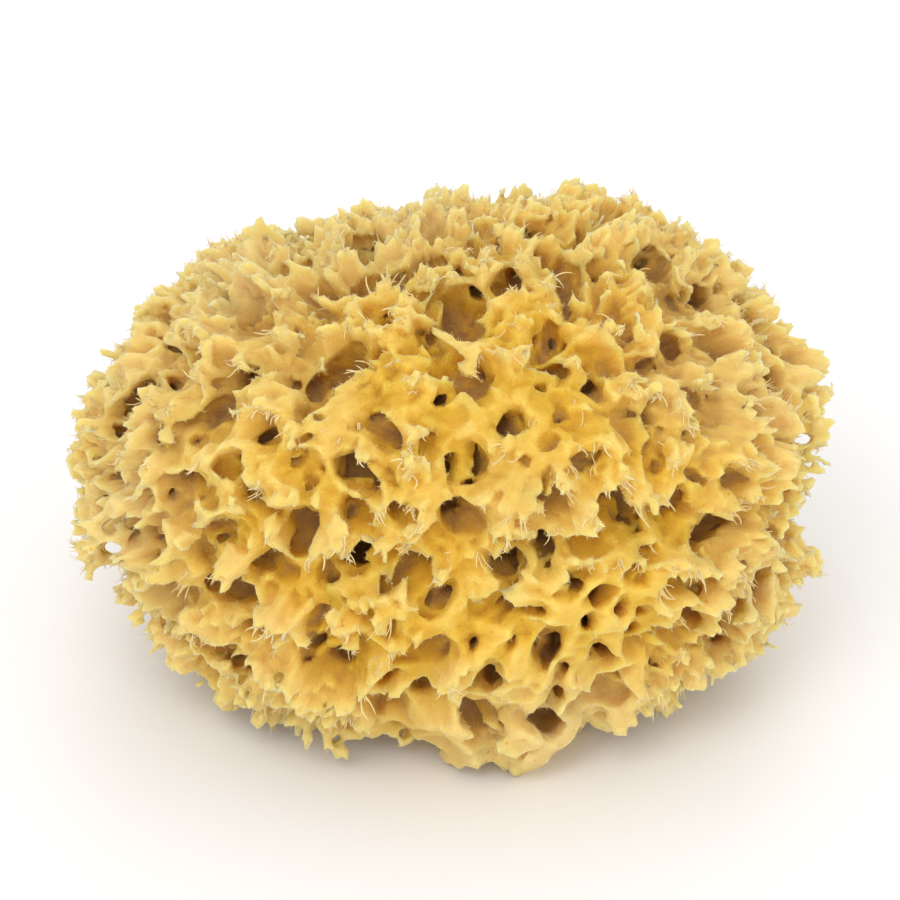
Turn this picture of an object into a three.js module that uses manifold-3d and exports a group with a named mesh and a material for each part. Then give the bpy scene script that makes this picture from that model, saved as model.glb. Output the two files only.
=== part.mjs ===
// A natural bath sponge, cleaned and dried. It grew as one piece: a rounded mass of horny fibre,
// riddled with canals that open on every side, with lobed crests between their mouths. It was cut
// flat where it grew on the rock, and it rests on that cut.
//
// Millimetres, +Z up, +X along the longest side, the show side towards -Y. The origin is on the
// flat cut, under the middle of the sponge's bounding box.

import * as THREE from "three";
import { mergeVertices } from "three/addons/utils/BufferGeometryUtils.js";
import Module from "manifold-3d";

const wasm = await Module();
wasm.setup();

// Driving sizes of the rounded mass, from its middle out to the tips of its crests.
const HALF_LENGTH = 68.5;
const HALF_WIDTH = 56;
const HALF_HEIGHT = 52.5;
const CUT_BELOW_MIDDLE = 39.5; // the flat cut lies this far under the middle
const CROWN_FULLNESS = 2.3; // 2 is an ellipsoid, more is boxier
const FOOT_FULLNESS = 1.9;
const MEAN_RADIUS = 60; // where the wavelengths of the lobes are measured
const SKIN_DETAIL = 10; // subdivisions of the icosahedron that the skin starts from

// Lobes of the crests: [height, wavelength, shift].
const LOBES = [
  [2.1, 25, 0.4],
  [1.2, 12, 1.9],
];

// The crease that runs across the show side, where the crests overhang the foot.
const CREASE_RISE = -0.2; // its height over the middle, as a share of the radius
const CREASE_SLOPE = 0.14; // how it climbs from left to right
const CREASE_HALF_WIDTH = 0.07;
const CREASE_DEEP = 3.5;
const FOOT_SET_BACK = 1.5; // how far the foot stands back under the crease

// The show direction, square to which the mouths below are laid out.
const SHOW_ELEVATION = THREE.MathUtils.degToRad(35);
const ACROSS = new THREE.Vector3(1, 0, 0);
const TOWARDS = new THREE.Vector3(0, -Math.cos(SHOW_ELEVATION), Math.sin(SHOW_ELEVATION));
const UP = new THREE.Vector3(0, Math.sin(SHOW_ELEVATION), Math.cos(SHOW_ELEVATION));

// Mouths of the canals on the show side, as seen square to it from its middle:
// [across, up, half width, half height, turn in degrees, depth].
const SHOW_CANALS = [
  // left shoulder
  [-49.5, 25.5, 3.6, 2.5, 0, 9],
  [-49, 19.5, 3.4, 2.1, -28, 9],
  [-55, 17, 2, 3, 30, 7],
  [-35, 29.5, 2.3, 4.2, 12, 14],
  [-28, 22, 3.4, 3.1, 0, 6],
  [-41, 11, 2.6, 3.1, -35, 24],
  [-45, 10.5, 2.3, 3.4, 15, 12],
  [-32, 9.5, 1.9, 2, 0, 20],
  [-23, 17, 2.7, 3, 0, 16],
  // crown
  [-22.5, 34.5, 5.2, 2.7, 5, 10],
  [-12, 37, 5.2, 2.9, -10, 13],
  [2.5, 30.5, 3.6, 6.2, -12, 28],
  [-17, 20, 3.7, 6.2, -12, 28],
  [-4, 26, 2.2, 2.2, 0, 18],
  [10, 36.5, 2, 2.9, 10, 10],
  [21, 36.5, 2, 4.6, 4, 14],
  [17.5, 25.5, 3, 3, 0, 6],
  [17, 18.5, 3.8, 3, 0, 15],
  [26, 16, 2, 2, 0, 22],
  // right shoulder
  [36.5, 39, 3.7, 3.3, 20, 10],
  [39, 33, 3.4, 2.2, 35, 10],
  [45.5, 33.5, 1.9, 2.9, -12, 8],
  [34.5, 21.5, 3, 2.1, -20, 24],
  [38.5, 22.5, 2.2, 3.8, 0, 14],
  [44, 13.5, 2, 2.8, -30, 18],
  [47.5, 13, 2.6, 3.2, -30, 9],
  [57.5, 19, 2, 2, 0, 8],
  // left flank
  [-46, 0.5, 2.6, 1.9, -30, 16],
  [-49, -3, 4, 3.6, 0, 7],
  [-59.5, 0, 1.9, 1.9, 0, 7],
  [-41, -8.5, 2.8, 2.3, 0, 10],
  [-25.5, -9.5, 3.8, 4.8, 0, 18],
  [-39.5, -18, 4.8, 2.2, 33, 17],
  // middle
  [-17, 1.5, 4.2, 2.6, 20, 26],
  [2.5, 2.5, 2.3, 4, 25, 16],
  [1.5, -6, 2.4, 4.2, -8, 24],
  [-16.5, -11, 3, 2.3, 0, 18],
  // right flank
  [29, -3.5, 3.6, 4.6, 0, 20],
  [47.5, -6.5, 4.8, 2, -12, 20],
  [44.5, -17.5, 2, 2, 0, 10],
  [49.5, -23, 2.2, 2.4, 0, 14],
  [56, -16.5, 2.4, 3.2, 0, 9],
  // foot
  [-2, -19.5, 1.9, 2, 0, 14],
  [17, -10, 1.9, 2, 0, 14],
  [9.5, -14, 3.4, 1.6, -20, 22],
  [-34.5, -25.5, 2, 2, 0, 9],
  [-25, -30, 1.8, 2.8, 0, 20],
  [-36.5, -32, 2.2, 2.4, 0, 14],
  [-24, -25, 3.2, 2.1, 0, 8],
  [-44.5, -28.5, 2.4, 3.6, 0, 8],
  [-20, -32.5, 2.6, 2.2, -20, 12],
  [6, -35, 1.8, 2, 0, 20],
  [18, -28.5, 2, 1.9, 0, 20],
  [18.5, -38.5, 1.8, 2, 10, 20],
  [26.5, -30.5, 2.2, 2, 0, 22],
  [19.5, -44, 4.2, 2.4, 38, 20],
  [7, -43.5, 3.6, 4.4, 0, 9],
];

// Canals over the rest of the surface, spread by the golden angle.
const SPREAD_CANALS = 150;
const SPREAD_MOUTH = [2.6, 5.2]; // least and most half width
const SPREAD_DEPTH = [8, 20];
const WALL_BETWEEN = 4.2; // least wall left between two mouths
const SEED = 11;

// A canal: a flared mouth, a throat and a blunt end.
const CANAL_SIDES = 7;
const FLARE = 1.3;
const THROAT = 0.72;
const OUTSIDE_REACH = 5; // how far the cutting tool stands out of the skin

/** A stream of repeatable numbers from 0 to 1. */
function numbers(seed) {
  let state = seed >>> 0;
  return () => {
    state = (Math.imul(state, 1664525) + 1013904223) >>> 0;
    return state / 4294967296;
  };
}

/** A smooth labyrinth pattern from -1 to 1, of the given wavelength. */
function labyrinth(point, wavelength, shift) {
  const k = (2 * Math.PI) / wavelength;
  const [x, y, z] = [point.x * k + shift, point.y * k + 2 * shift, point.z * k + 3 * shift];
  const sum = Math.sin(x) * Math.cos(y) + Math.sin(y) * Math.cos(z) + Math.sin(z) * Math.cos(x);
  return sum / 1.5;
}

/** How far the crests reach from the middle in a direction. */
function crestRadius(direction) {
  const n = direction.z > 0 ? CROWN_FULLNESS : FOOT_FULLNESS;
  const sum =
    Math.abs(direction.x / HALF_LENGTH) ** n +
    Math.abs(direction.y / HALF_WIDTH) ** n +
    Math.abs(direction.z / HALF_HEIGHT) ** n;
  let radius = sum ** (-1 / n);
  const point = direction.clone().multiplyScalar(MEAN_RADIUS);
  for (const [height, wavelength, shift] of LOBES)
    radius += height * labyrinth(point, wavelength, shift);
  const front = THREE.MathUtils.smoothstep(direction.dot(TOWARDS), 0.1, 0.5);
  const over = direction.dot(UP) - CREASE_RISE - CREASE_SLOPE * direction.x;
  radius -= front * CREASE_DEEP * Math.exp(-((over / CREASE_HALF_WIDTH) ** 2));
  radius -= FOOT_SET_BACK * THREE.MathUtils.smoothstep(-over, 0, CREASE_HALF_WIDTH) * front;
  return radius;
}

/** The point on the show side that stands at a place across and up. */
function showPoint(across, up) {
  const base = ACROSS.clone().multiplyScalar(across).addScaledVector(UP, up);
  let [inner, outer] = [-HALF_LENGTH, HALF_LENGTH];
  for (let step = 0; step < 40; step++) {
    const t = (inner + outer) / 2;
    const point = base.clone().addScaledVector(TOWARDS, t);
    if (point.length() < crestRadius(point.clone().normalize())) inner = t;
    else outer = t;
  }
  return base.addScaledVector(TOWARDS, inner);
}

/** A closed mesh's solid. */
function solid(geometry) {
  const bare = geometry.clone();
  bare.deleteAttribute("normal");
  bare.deleteAttribute("uv");
  const merged = mergeVertices(bare, 1e-4);
  return new wasm.Manifold(
    new wasm.Mesh({
      numProp: 3,
      vertProperties: new Float32Array(merged.attributes.position.array),
      triVerts: new Uint32Array(merged.index.array),
    }),
  );
}

/** A solid's mesh. */
function geometryOf(made) {
  const mesh = made.getMesh();
  const vertices = new Float32Array(mesh.numVert * 3);
  for (let i = 0; i < mesh.numVert; i++)
    vertices.set(mesh.vertProperties.subarray(i * mesh.numProp, i * mesh.numProp + 3), i * 3);
  const geometry = new THREE.BufferGeometry();
  geometry.setAttribute("position", new THREE.BufferAttribute(vertices, 3));
  geometry.setIndex(new THREE.BufferAttribute(mesh.triVerts, 1));
  return geometry;
}

/** The lobed outer skin, as a closed solid round the middle. */
function skin() {
  const geometry = new THREE.IcosahedronGeometry(1, SKIN_DETAIL);
  const places = geometry.attributes.position;
  for (let i = 0; i < places.count; i++) {
    const direction = new THREE.Vector3().fromBufferAttribute(places, i).normalize();
    direction.multiplyScalar(crestRadius(direction));
    places.setXYZ(i, direction.x, direction.y, direction.z);
  }
  return solid(geometry);
}

/** The cutting tool of one canal, from its mouth inwards. */
function canalTool({ mouth, inward, halfWidth, halfHeight, turn, depth }) {
  const profile = [
    [0, -depth],
    [THROAT, -0.75 * depth],
    [1, -1.5],
    [FLARE, OUTSIDE_REACH],
    [0, OUTSIDE_REACH],
  ].map(([radius, height]) => new THREE.Vector2(radius, height));
  const geometry = new THREE.LatheGeometry(profile, CANAL_SIDES);
  const outward = inward.clone().negate();
  const side = new THREE.Vector3().crossVectors(UP, outward).normalize();
  const rise = new THREE.Vector3().crossVectors(outward, side);
  geometry.scale(halfWidth, 1, halfHeight);
  geometry.rotateY(turn);
  geometry.applyMatrix4(new THREE.Matrix4().makeBasis(side, outward, rise.negate()));
  geometry.translate(mouth.x, mouth.y, mouth.z);
  return solid(geometry);
}

/** The canals laid out on the show side. */
function showCanals() {
  return SHOW_CANALS.map(([across, up, halfWidth, halfHeight, degrees, depth]) => {
    const mouth = showPoint(across, up);
    const inward = mouth.clone().normalize().add(TOWARDS).normalize().negate();
    const turn = THREE.MathUtils.degToRad(degrees);
    return { mouth, inward, halfWidth, halfHeight, turn, depth };
  });
}

/** Canals over the rest, each clear of those before it and of the middle of the cut. */
function spreadCanals(taken) {
  const next = numbers(SEED);
  const goldenAngle = Math.PI * (3 - Math.sqrt(5));
  const found = [];
  for (let i = 0; i < SPREAD_CANALS; i++) {
    const z = 1 - (2 * (i + 0.5)) / SPREAD_CANALS;
    const bearing = i * goldenAngle + 0.5 * next();
    const flat = Math.sqrt(1 - z * z);
    const direction = new THREE.Vector3(flat * Math.cos(bearing), flat * Math.sin(bearing), z);
    const halfWidth = THREE.MathUtils.lerp(...SPREAD_MOUTH, next() ** 1.5);
    const halfHeight = halfWidth * (0.7 + 0.5 * next());
    const turn = Math.PI * next();
    const depth = THREE.MathUtils.lerp(...SPREAD_DEPTH, next());
    const mouth = direction.clone().multiplyScalar(crestRadius(direction));
    const reach = Math.max(halfWidth, halfHeight) * FLARE;
    const clear = [...taken, ...found].every(
      (other) =>
        mouth.distanceTo(other.mouth) >
        reach + WALL_BETWEEN + Math.max(other.halfWidth, other.halfHeight) * FLARE,
    );
    if (clear && mouth.z > -CUT_BELOW_MIDDLE + reach)
      found.push({ mouth, inward: direction.negate(), halfWidth, halfHeight, turn, depth });
  }
  return found;
}

/** Everything below the flat cut. */
function belowCut() {
  const side = 4 * HALF_LENGTH;
  const geometry = new THREE.BoxGeometry(side, side, side);
  geometry.translate(0, 0, -CUT_BELOW_MIDDLE - side / 2);
  return solid(geometry);
}

/** The whole sponge, cut flat and moved so that its box stands on the origin. */
function spongeGeometry() {
  const shown = showCanals();
  const canals = [...shown, ...spreadCanals(shown)];
  let made = skin().subtract(belowCut());
  for (const canal of canals) made = made.subtract(canalTool(canal));
  const pieces = made.decompose().sort((a, b) => b.volume() - a.volume());
  const geometry = geometryOf(pieces[0]);
  geometry.computeBoundingBox();
  const middle = geometry.boundingBox.getCenter(new THREE.Vector3());
  geometry.translate(-middle.x, -middle.y, CUT_BELOW_MIDDLE);
  return geometry;
}

/** Dry golden sponge fibre. */
function spongeFibre() {
  return new THREE.MeshStandardMaterial({ color: 0xd9b358, roughness: 0.92, metalness: 0 });
}

const sponge = new THREE.Mesh(spongeGeometry(), spongeFibre());
sponge.name = "sponge";

const group = new THREE.Group();
group.add(sponge);

export default group;
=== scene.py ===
"""A natural bath sponge: one grown mass of horny fibre, riddled with canals, with frayed crests.

The sponge is grown in a block of voxels: a rounded mass, canals and bowls carved out of it, blades
and tongues raised between their mouths, and a flat cut underneath. Its surface is then meshed, and
frayed fibres and a fine nap are set on the crests. Lengths are in millimetres until a mesh is made.
"""

import logging
import math
from dataclasses import dataclass, field
from enum import Enum

import bpy
import numpy as np
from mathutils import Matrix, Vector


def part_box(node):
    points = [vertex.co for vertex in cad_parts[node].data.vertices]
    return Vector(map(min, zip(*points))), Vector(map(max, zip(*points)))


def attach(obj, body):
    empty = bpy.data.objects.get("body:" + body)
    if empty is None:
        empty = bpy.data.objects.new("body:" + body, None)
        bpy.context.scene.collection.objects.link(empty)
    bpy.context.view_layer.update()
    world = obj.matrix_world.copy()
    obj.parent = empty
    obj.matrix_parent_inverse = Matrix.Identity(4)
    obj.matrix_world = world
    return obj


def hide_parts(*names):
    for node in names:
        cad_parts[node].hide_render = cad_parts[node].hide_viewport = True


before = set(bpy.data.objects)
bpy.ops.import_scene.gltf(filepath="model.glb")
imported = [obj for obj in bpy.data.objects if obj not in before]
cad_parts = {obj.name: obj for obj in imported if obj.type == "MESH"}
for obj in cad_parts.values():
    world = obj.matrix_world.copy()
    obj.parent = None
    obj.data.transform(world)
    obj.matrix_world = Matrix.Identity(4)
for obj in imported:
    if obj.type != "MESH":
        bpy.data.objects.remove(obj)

import openvdb
from mathutils import Vector
from mathutils.kdtree import KDTree

log = logging.getLogger("sponge")

MM = 0.001
SEED = 7
BODY = "root"
NODE = "sponge"
CREAM = (0.94, 0.79, 0.42)

# The show direction: the way the best side faces, and what is up and across as seen from there.
SHOW_ELEVATION = math.radians(35)
ACROSS = np.array([1.0, 0.0, 0.0])
TOWARDS = np.array([0.0, -math.cos(SHOW_ELEVATION), math.sin(SHOW_ELEVATION)])
UP = np.array([0.0, math.sin(SHOW_ELEVATION), math.cos(SHOW_ELEVATION)])

# Mouths of the canals on the show side, as seen square to it from its middle:
# (across, up, half width, half height, turn in degrees, depth).
SHOW_CANALS = [
    # left shoulder
    (-49.5, 25.5, 3.6, 2.5, 0, 9),
    (-49, 19.5, 3.4, 2.1, -28, 9),
    (-55, 17, 1.6, 3, 30, 7),
    (-35, 29.5, 2.3, 4.2, 12, 14),
    (-28, 22, 3.4, 3.1, 0, 6),
    (-41, 11, 2.6, 3.1, -35, 24),
    (-45, 10.5, 2.3, 3.4, 15, 12),
    (-32, 9.5, 1.5, 1.6, 0, 20),
    (-23, 17, 2.7, 3, 0, 16),
    (-27.5, 19.5, 0.9, 0.9, 0, 10),
    (-24.5, 10, 1.3, 2.2, 0, 18),
    # crown
    (-22.5, 34.5, 5.2, 2.7, 5, 10),
    (-12, 37, 5.2, 2.9, -10, 13),
    (-9.5, 35, 1.5, 2.2, 0, 24),
    (2, 38, 1.1, 1.3, 0, 12),
    (2.5, 30.5, 3.6, 6.2, -12, 28),
    (-17, 20, 3.7, 6.2, -12, 28),
    (-4, 26, 2.2, 2.2, 0, 18),
    (10, 36.5, 2, 2.9, 10, 10),
    (21, 36.5, 2, 4.6, 4, 14),
    (17.5, 25.5, 3, 3, 0, 6),
    (17.5, 23.5, 0.9, 0.9, 0, 14),
    (17, 18.5, 3.8, 3, 0, 15),
    (26, 16, 1.5, 1.5, 0, 22),
    (4, 20, 2.5, 1.8, 0, 7),
    (-2, 15, 1.3, 1.5, 0, 16),
    (19.5, 12, 1.5, 2, 0, 14),
    # right shoulder
    (36.5, 39, 3.7, 3.3, 20, 10),
    (39, 33, 3.4, 2.2, 35, 10),
    (45.5, 33.5, 1.5, 2.9, -12, 8),
    (42.5, 33.5, 0.8, 1.8, 0, 8),
    (34.5, 21.5, 3, 2.1, -20, 24),
    (38.5, 22.5, 2.2, 3.8, 0, 14),
    (44, 13.5, 1.5, 2.8, -30, 18),
    (47.5, 13, 2.6, 3.2, -30, 9),
    (40.5, 10.5, 1, 1, 0, 18),
    (57.5, 19, 1.6, 1.6, 0, 8),
    # left flank
    (-46, 0.5, 2.6, 1.9, -30, 16),
    (-42, -0.5, 0.9, 0.9, 0, 16),
    (-49, -3, 4, 3.6, 0, 7),
    (-59.5, 0, 1.6, 1.6, 0, 7),
    (-41, -8.5, 2.8, 2.3, 0, 10),
    (-25.5, -9.5, 3.8, 4.8, 0, 18),
    (-39.5, -18, 4.8, 2.2, 33, 17),
    # middle
    (-17, 1.5, 4.2, 2.6, 20, 26),
    (2.5, 2.5, 2.3, 4, 25, 16),
    (1.5, -6, 2.4, 4.2, -8, 24),
    (-16.5, -11, 3, 2.3, 0, 18),
    # right flank
    (29, -3.5, 3.6, 4.6, 0, 20),
    (43, 2, 1.6, 1.3, 0, 12),
    (47.5, -6.5, 4.8, 2, -12, 20),
    (44.5, -17.5, 1.4, 1.4, 0, 10),
    (49.5, -23, 1.8, 2, 0, 14),
    (56, -16.5, 2.2, 3, 0, 9),
    (58, -25.5, 2.5, 3, 0, 4),
    # foot
    (-2, -19.5, 1.6, 1.7, 0, 14),
    (17, -10, 1.5, 1.7, 0, 14),
    (9.5, -14, 3.4, 1.6, -20, 22),
    (-34.5, -25.5, 1.6, 1.6, 0, 9),
    (-25, -30, 1.6, 2.8, 0, 20),
    (-36.5, -32, 2.2, 2.4, 0, 14),
    (-24, -25, 3.2, 2.1, 0, 8),
    (-44.5, -28.5, 2.4, 3.6, 0, 8),
    (-20, -32.5, 2.6, 2.2, -20, 12),
    (-11, -34, 1.3, 1.3, 0, 16),
    (3.5, -28, 1.1, 1.1, 0, 12),
    (6, -35, 1.4, 1.6, 0, 20),
    (15.5, -22.5, 1.2, 0.8, 0, 20),
    (18, -28.5, 1.7, 1.6, 0, 20),
    (16, -32, 1.1, 1.1, 0, 14),
    (20, -33, 1, 1, 0, 14),
    (18.5, -38.5, 1.5, 1.7, 10, 20),
    (22.5, -18.5, 1.2, 1.2, 0, 14),
    (25, -24.5, 1.1, 1.1, 0, 14),
    (26.5, -20, 1.1, 1.1, 0, 14),
    (26.5, -30.5, 2, 1.8, 0, 22),
    (31.5, -20.5, 1.1, 1.1, 0, 14),
    (35, -22, 1.1, 1.1, 0, 14),
    (34, -26, 1.2, 1.2, 0, 14),
    (39.5, -35, 1, 1, 0, 14),
    (19.5, -44, 4.2, 2.4, 38, 20),
    (7, -43.5, 3.6, 4.4, 0, 9),
    (-1.5, -48, 0.9, 0.9, 0, 10),
]

# Tongues that hang over the canals of the show side, as seen square to it:
# (across, up, way in degrees from across towards up, length, width, share of the way that is outward).
TONGUES = [
    (-19, 31.5, 175, 6, 4.5, 0.5),
    (-11.5, 33, 70, 5, 5, 0.9),
    (9, 31.5, 190, 6.5, 4.5, 0.5),
    (-9.5, 20.5, 185, 6, 4.5, 0.5),
    (12.5, 29, 255, 5, 4.5, 0.8),
    (1, 23.5, 300, 5, 4, 0.8),
    (-18, 12.5, 235, 7, 9, 0.9),
    (-7, 15, 265, 5, 5, 0.7),
    (12.5, 12, 250, 7, 8.5, 0.9),
    (-6.5, 4.5, 250, 4, 3.5, 0.8),
    (-3.5, 0.5, 240, 6, 7, 0.8),
    (-37, -11.5, 235, 7, 5, 0.7),
    (33, 2, 260, 6, 6, 0.8),
    (47, -1.5, 320, 6, 5, 0.6),
    (3.5, -14.5, 280, 4.5, 5.5, 0.9),
    (13.5, 0, 245, 6, 5.5, 0.8),
    (-20.5, -8, 240, 6, 5, 0.6),
    (-10.5, -10.5, 255, 6, 6.5, 0.8),
    (-50, 14.5, 150, 5, 4, 0.8),
    (24, 8, 280, 5, 5.5, 0.8),
    (38, 13.5, 300, 5, 5, 0.8),
    (-30, 2, 230, 5.5, 6, 0.8),
    (52, 5, 330, 5.5, 5, 0.7),
    (-8, -26, 235, 5, 5.5, 0.8),
    (30, -12, 285, 5, 5.5, 0.8),
]

# Patches of the show side that stay smooth, as seen square to it:
# (across, up, half width, half height).
CALM_PATCHES = [
    (14, -26, 24, 13),
    (8, -47, 32, 11),
    (-30, -19, 9, 7),
    (4, 12, 8, 9),
]

# Broad swellings and hollows of the outline, as seen square to the show side:
# (across, up, radius, height).
SWELLINGS = [
    (27, 50, 13, 2.8),
    (-14, 51, 14, -3.2),
    (-46, 40, 12, -1.8),
    (45, 42, 9, 2.4),
    (66, 22, 8, 2.4),
    (68, 10, 6, 2.0),
    (65, -3, 8, -6.0),
    (-67, 4, 14, -1.6),
    (-64, -12, 7, 2.2),
    (-54, -24, 10, -2.4),
    (-34, -46, 9, 1.4),
    (46, -44, 9, -6.2),
    (54, -30, 12, 1.4),
    (12, -50, 20, 6.0),
]

# Gaps right through the edge of the sponge: (across, up, half width, half height).
GAPS = [
    (-60.5, -11, 2.2, 1.2),
    (-61, -16, 3.2, 2.0),
    (63.2, 8.5, 1.8, 1.0),
]

# The rims of the leaves of tissue have long teeth and short ones between them.
TOOTH_RATE = 1.25
SHORT_TOOTH_RATE = 3.4
SHORT_TOOTH_SHARE = 0.35


class Habit(Enum):
    """How a leaf of tissue grows: (width kept at its tip, flute depth, tooth length, height)."""

    LOBE = (0.55, 0.14, 1.9, 4.8)
    FAN = (0.85, 0.16, 0.7, 3.2)
    TONGUE = (0.60, 0.10, 1.7, 2.7)

    @property
    def tip_width(self) -> float:
        """The share of its width that the tip keeps."""
        return self.value[0]

    @property
    def flute(self) -> float:
        """How deep its flutes are."""
        return self.value[1]

    @property
    def tooth(self) -> float:
        """How long the teeth of its rim are."""
        return self.value[2]

    @property
    def height(self) -> float:
        """How high it stands, or what its own length is raised by."""
        return self.value[3]


def unit(rows: np.ndarray) -> np.ndarray:
    """Rows scaled to length 1."""
    return rows / np.maximum(np.linalg.norm(rows, axis=-1, keepdims=True), 1e-9)


def smoothstep(values: np.ndarray, low: float, high: float) -> np.ndarray:
    """A smooth rise from 0 at low to 1 at high.

    Args:
        values: the numbers to turn into shares.
        low: where the rise starts.
        high: where it ends.

    Returns:
        The shares, from 0 to 1.
    """
    t = np.clip((values - low) / (high - low), 0, 1)
    return t * t * (3 - 2 * t)


def across_axes(ways: np.ndarray) -> tuple[np.ndarray, np.ndarray]:
    """Two directions square to each way, the first of them level.

    Args:
        ways: directions, one a row.

    Returns:
        The level directions and the rising ones.
    """
    level = np.cross(np.array([0.0, 0.0, 1.0]), ways)
    flat = np.linalg.norm(level, axis=-1, keepdims=True)
    level = unit(np.where(flat < 1e-3, ACROSS, level))
    return level, unit(np.cross(ways, level))


def shownness(points: np.ndarray, low: float, high: float) -> np.ndarray:
    """How much places face the show side: 0 where the cosine is under low, 1 where it is over high."""
    return smoothstep(unit(points) @ TOWARDS, low, high)


def calmness(points: np.ndarray) -> np.ndarray:
    """How smooth the surface stays at points, from 0 to 1.

    Args:
        points: places from the sponge's middle, one a row.

    Returns:
        The smoothness at each, 1 in the middle of a calm patch.
    """
    across, up = points @ ACROSS, points @ UP
    total = np.zeros(len(points))
    for middle, height, half_width, half_height in CALM_PATCHES:
        off = ((across - middle) / half_width) ** 2 + ((up - height) / half_height) ** 2
        total = np.maximum(total, np.exp(-(off**2)))
    return total * smoothstep(points @ TOWARDS, -14, 2)


@dataclass
class Mass:
    """The rounded mass inside the crests, measured from its middle."""

    half_length: float = 64.0
    half_width: float = 50.5
    half_height: float = 46.5
    cut_below: float = 38.5
    crown_fullness: float = 2.3
    foot_fullness: float = 1.9
    crease_rise: float = -0.2
    crease_slope: float = 0.14
    crease_half_width: float = 0.075
    crease_deep: float = 6.5
    foot_set_back: float = 2.5

    def radius(self, ways: np.ndarray) -> np.ndarray:
        """How far the surface lies from the middle in each direction.

        Args:
            ways: directions from the middle, one a row.

        Returns:
            The radius in each direction.
        """
        n = np.where(ways[:, 2] > 0, self.crown_fullness, self.foot_fullness)
        total = (
            np.abs(ways[:, 0] / self.half_length) ** n
            + np.abs(ways[:, 1] / self.half_width) ** n
            + np.abs(ways[:, 2] / self.half_height) ** n
        )
        return total ** (-1 / n)

    def outward(self, points: np.ndarray) -> np.ndarray:
        """The surface's outward direction at points on it.

        Args:
            points: places on or near the surface, one a row.

        Returns:
            The outward direction at each.
        """
        n = np.where(points[:, 2:] > 0, self.crown_fullness, self.foot_fullness)
        halves = np.array([self.half_length, self.half_width, self.half_height])
        return unit(np.sign(points) * np.abs(points / halves) ** (n - 1) / halves)

    def show_points(self, across: np.ndarray, up: np.ndarray) -> np.ndarray:
        """The points on the show side at places across and up.

        Args:
            across: places across.
            up: places up.

        Returns:
            The points, one a row.
        """
        base = across[:, None] * ACROSS + up[:, None] * UP
        inner = np.full(len(across), -self.half_length)
        outer = np.full(len(across), self.half_length)
        for _ in range(40):
            middle = (inner + outer) / 2
            points = base + middle[:, None] * TOWARDS
            inside = np.linalg.norm(points, axis=1) < self.radius(unit(points))
            inner = np.where(inside, middle, inner)
            outer = np.where(inside, outer, middle)
        return base + inner[:, None] * TOWARDS

    def scattered(self, count: int, rng: np.random.Generator) -> np.ndarray:
        """Points spread evenly over the whole surface, in a random order.

        Args:
            count: how many points there are.
            rng: the source of chance.

        Returns:
            The points, one a row.
        """
        turn = np.arange(count) * math.pi * (3 - math.sqrt(5)) + rng.uniform(0, 0.6, count)
        rise = 1 - 2 * (np.arange(count) + rng.uniform(0.1, 0.9, count)) / count
        flat = np.sqrt(1 - rise**2)
        ways = np.stack([flat * np.cos(turn), flat * np.sin(turn), rise], 1)
        points = ways * self.radius(ways)[:, None]
        return points[rng.permutation(count)]


@dataclass
class VoxelBlock:
    """A block of voxels round the sponge. Each holds how far it is from the surface: air is above 0."""

    low: np.ndarray
    high: np.ndarray
    step: float
    axes: list[np.ndarray] = field(init=False)
    air: np.ndarray = field(init=False)
    warped: list[np.ndarray] = field(init=False)

    def __post_init__(self) -> None:
        """Lays out the voxels."""
        counts = np.ceil((self.high - self.low) / self.step).astype(int)
        self.axes = [
            (self.low[i] + self.step * np.arange(counts[i])).astype(np.float32) for i in range(3)
        ]

    @property
    def shape(self) -> tuple[int, int, int]:
        """Voxels along each axis."""
        return tuple(len(axis) for axis in self.axes)

    def open_grid(self) -> list[np.ndarray]:
        """The three axes, shaped to be added to each other."""
        x, y, z = self.axes
        return [x[:, None, None], y[None, :, None], z[None, None, :]]

    def noise(self, wavelength: float, rng: np.random.Generator) -> np.ndarray:
        """Smooth noise of about the given wavelength, with a spread of 1.

        Args:
            wavelength: the width of its swells.
            rng: the source of chance.

        Returns:
            A value for each voxel.
        """
        spacing = wavelength / 2
        counts = [int(np.ptp(axis) / spacing) + 5 for axis in self.axes]
        values = rng.standard_normal(counts).astype(np.float32)
        weights = [spline_weights(axis, axis[0] - 1.5 * spacing, spacing, n)
                   for axis, n in zip(self.axes, counts)]
        spread = weights[0] @ values.reshape(counts[0], -1)
        spread = spread.reshape(-1, counts[1], counts[2])
        spread = np.matmul(np.matmul(weights[1], spread), weights[2].T)
        return spread / spread.std()

    def window(self, low: np.ndarray, high: np.ndarray) -> tuple[slice, slice, slice]:
        """The slices of the voxels between two corners.

        Args:
            low: the lower corner.
            high: the upper corner.

        Returns:
            One slice for each axis.
        """
        first = np.floor((low - self.low) / self.step).astype(int)
        last = np.ceil((high - self.low) / self.step).astype(int) + 1
        return tuple(
            slice(max(a, 0), max(min(b, n), 0)) for a, b, n in zip(first, last, self.shape)
        )

    def sample(self, values: np.ndarray, points: np.ndarray) -> np.ndarray:
        """Values of the block at points, straight-line between voxels.

        Args:
            values: a value for each voxel.
            points: places, one a row.

        Returns:
            The value at each place.
        """
        places = (points - self.low) / self.step
        limit = np.array(values.shape) - 2
        base = np.clip(np.floor(places).astype(int), 0, limit)
        share = np.clip(places - base, 0, 1).astype(np.float32)
        total = np.zeros(len(points), np.float32)
        for corner in range(8):
            offset = np.array([corner >> 2 & 1, corner >> 1 & 1, corner & 1])
            weight = np.prod(np.where(offset, share, 1 - share), axis=1)
            i, j, k = (base + offset).T
            total += weight * values[i, j, k]
        return total


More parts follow.
